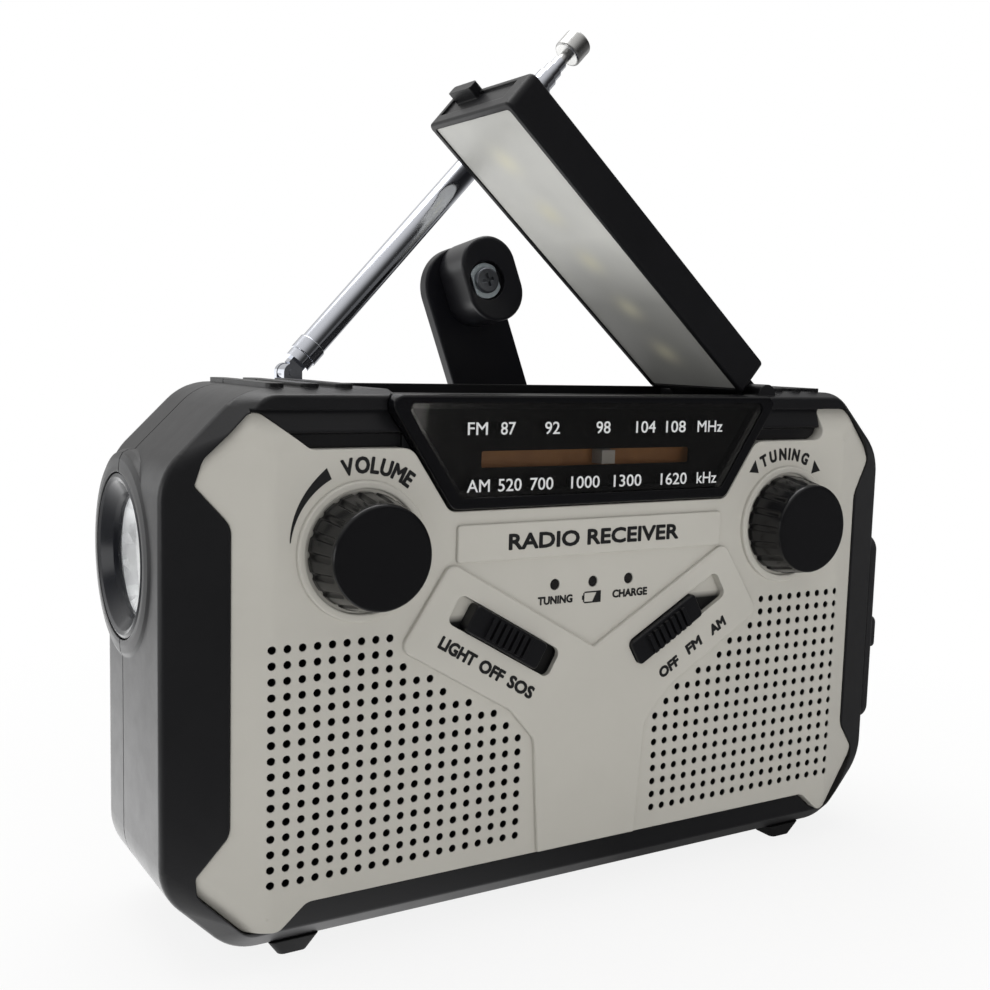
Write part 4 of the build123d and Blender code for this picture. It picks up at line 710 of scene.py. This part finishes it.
def floor_white():
    """Pale floor that fades into the white surroundings away from the radio."""
    t = material_tree("floor_white")
    base = t.mottle(t.noise(scale=6.0), dark=(0.86, 0.86, 0.855), light=(0.885, 0.885, 0.88))
    normal = t.bump(t.noise(scale=300.0, detail=2.0), strength=0.05, distance=0.0001)
    paper = t.principled(base_color=base, roughness=0.8, normal=normal,
                         specular_ior_level=0.1)
    ray = t.node("LightPath").outputs
    away = t.vector_math("LENGTH", t.coord)["Value"]
    fade = t.remap(away, span=(0.10, 0.26), to=(0.86, 1.0))
    seen = t.mix_shader(t.times(ray["Is Camera Ray"], fade), paper, t.glow(1.0))
    # what polished plastic sees of the floor: a bright card on the left, a flag in front
    x, y, _ = t.node("SeparateXYZ", t.coord).outputs
    card = t.times(t.remap(x, span=(-0.20, -0.10), to=(0.22, CARD_LEFT)),
                   t.remap(x, span=(-0.09, 0.02), to=(1.0, 0.0)))
    card = t.times(card, t.remap(y, span=(-0.08, 0.01)))
    card = t.plus(card, t.remap(y, span=(-0.05, 0.30), to=(FLAG, 0.50)))
    return t.surface(t.mix_shader(ray["Is Glossy Ray"], seen, t.glow(card)))


def floor():
    material = floor_white()
    mesh = bpy.data.meshes.new("floor")
    turns = [2 * math.pi * i / FLOOR_SIDES for i in range(FLOOR_SIDES)]
    ring = [(FLOOR_RADIUS * math.cos(a), FLOOR_RADIUS * math.sin(a), 0) for a in turns]
    mesh.from_pydata(ring, [], [tuple(range(FLOOR_SIDES))])
    obj = bpy.data.objects.new("floor", mesh)
    scene.collection.objects.link(obj)
    mesh.materials.append(material)
    obj.location.z = -0.0002


def studio_world():
    """A tent, bright overhead, behind and on the left, dim on the right; white to the camera."""
    t = NodeTree(bpy.data.worlds.new("studio"), output="OutputWorld", space="Generated")
    x, y, z = t.node("SeparateXYZ", t.coord).outputs

    def step(value, span, to):
        return t.remap(value, span, to, kind="SMOOTHSTEP")

    left = t.times(step(x, span=(-0.15, -0.75), to=(0.0, 0.50)),
                   step(y, span=(0.0, 0.6), to=(0.12, 1.0)))
    tent = t.plus(step(z, span=(0.15, 0.95), to=(0.04, 0.75)), left)
    tent = t.plus(tent, step(y, span=(0.2, 0.95), to=(0.0, 0.45)))
    tent = t.times(tent, step(x, span=(0.9, 0.2), to=(0.45, 1.0)))
    white = t.node("Background", color=(1, 1, 1), strength=1.0).outputs[0]
    light = t.node("Background", color=(1.0, 0.995, 0.985), strength=tent).outputs[0]
    is_camera = t.node("LightPath").outputs["Is Camera Ray"]
    return t.surface(t.mix_shader(is_camera, light, white))


floor()
scene.world = studio_world()


# ------------------------------------------------------------------ lights and camera
def area(name, location, target, size, power, colour=(1, 1, 1), glossy=True):
    light = bpy.data.lights.new(name, "AREA")
    light.shape = "RECTANGLE"
    light.size, light.size_y = size
    light.energy = power
    light.color = colour
    obj = bpy.data.objects.new(name, light)
    scene.collection.objects.link(obj)
    obj.location = location
    obj.rotation_mode = "QUATERNION"
    aim = Vector(target) - Vector(location)
    obj.rotation_quaternion = aim.to_track_quat("-Z", "Y")
    obj.visible_glossy = glossy


area("front_softbox", location=(0.03, -0.45, 0.09), target=(0.01, 0, 0.03), size=(0.30, 0.15),
     power=0.46, colour=(1.0, 0.99, 0.97), glossy=False)
area("top_softbox", location=(0.0, 0.25, 0.95), target=(0, 0, 0.06), size=(0.9, 0.7),
     power=5.0)
area("left_strip", location=(-0.62, 0.80, 0.20), target=(0, 0, 0.06), size=(0.7, 0.30),
     power=0.4, colour=(0.97, 0.99, 1.0))
area("torch_card", location=(-0.60, -0.02, 0.09), target=(-0.09, 0, 0.076),
     size=(0.22, 0.22), power=0.35)

CAMERA_PLACE = Vector((-0.15525 - MIDDLE * MM, -0.24345, 0.11817))
CAMERA_RIGHT = Vector((0.8545, -0.5187, 0.0276))
CAMERA_BACK = Vector((-0.5181, -0.8475, 0.1151))   # away from the view


def camera():
    lens = bpy.data.cameras.new("camera")
    lens.lens = 45.725
    lens.sensor_width = 36.0
    lens.sensor_fit = "HORIZONTAL"
    lens.clip_start = 0.01
    lens.clip_end = 30.0
    obj = bpy.data.objects.new("camera", lens)
    scene.collection.objects.link(obj)
    back = CAMERA_BACK.normalized()
    up = back.cross(CAMERA_RIGHT.normalized()).normalized()
    right = up.cross(back).normalized()
    turn = Matrix((right, up, back)).transposed().to_4x4()
    obj.matrix_world = Matrix.Translation(CAMERA_PLACE) @ turn
    scene.camera = obj


camera()
scene.view_settings.view_transform = "Standard"
scene.view_settings.look = "None"
scene.view_settings.exposure = 0.0
scene.view_settings.gamma = 1.0
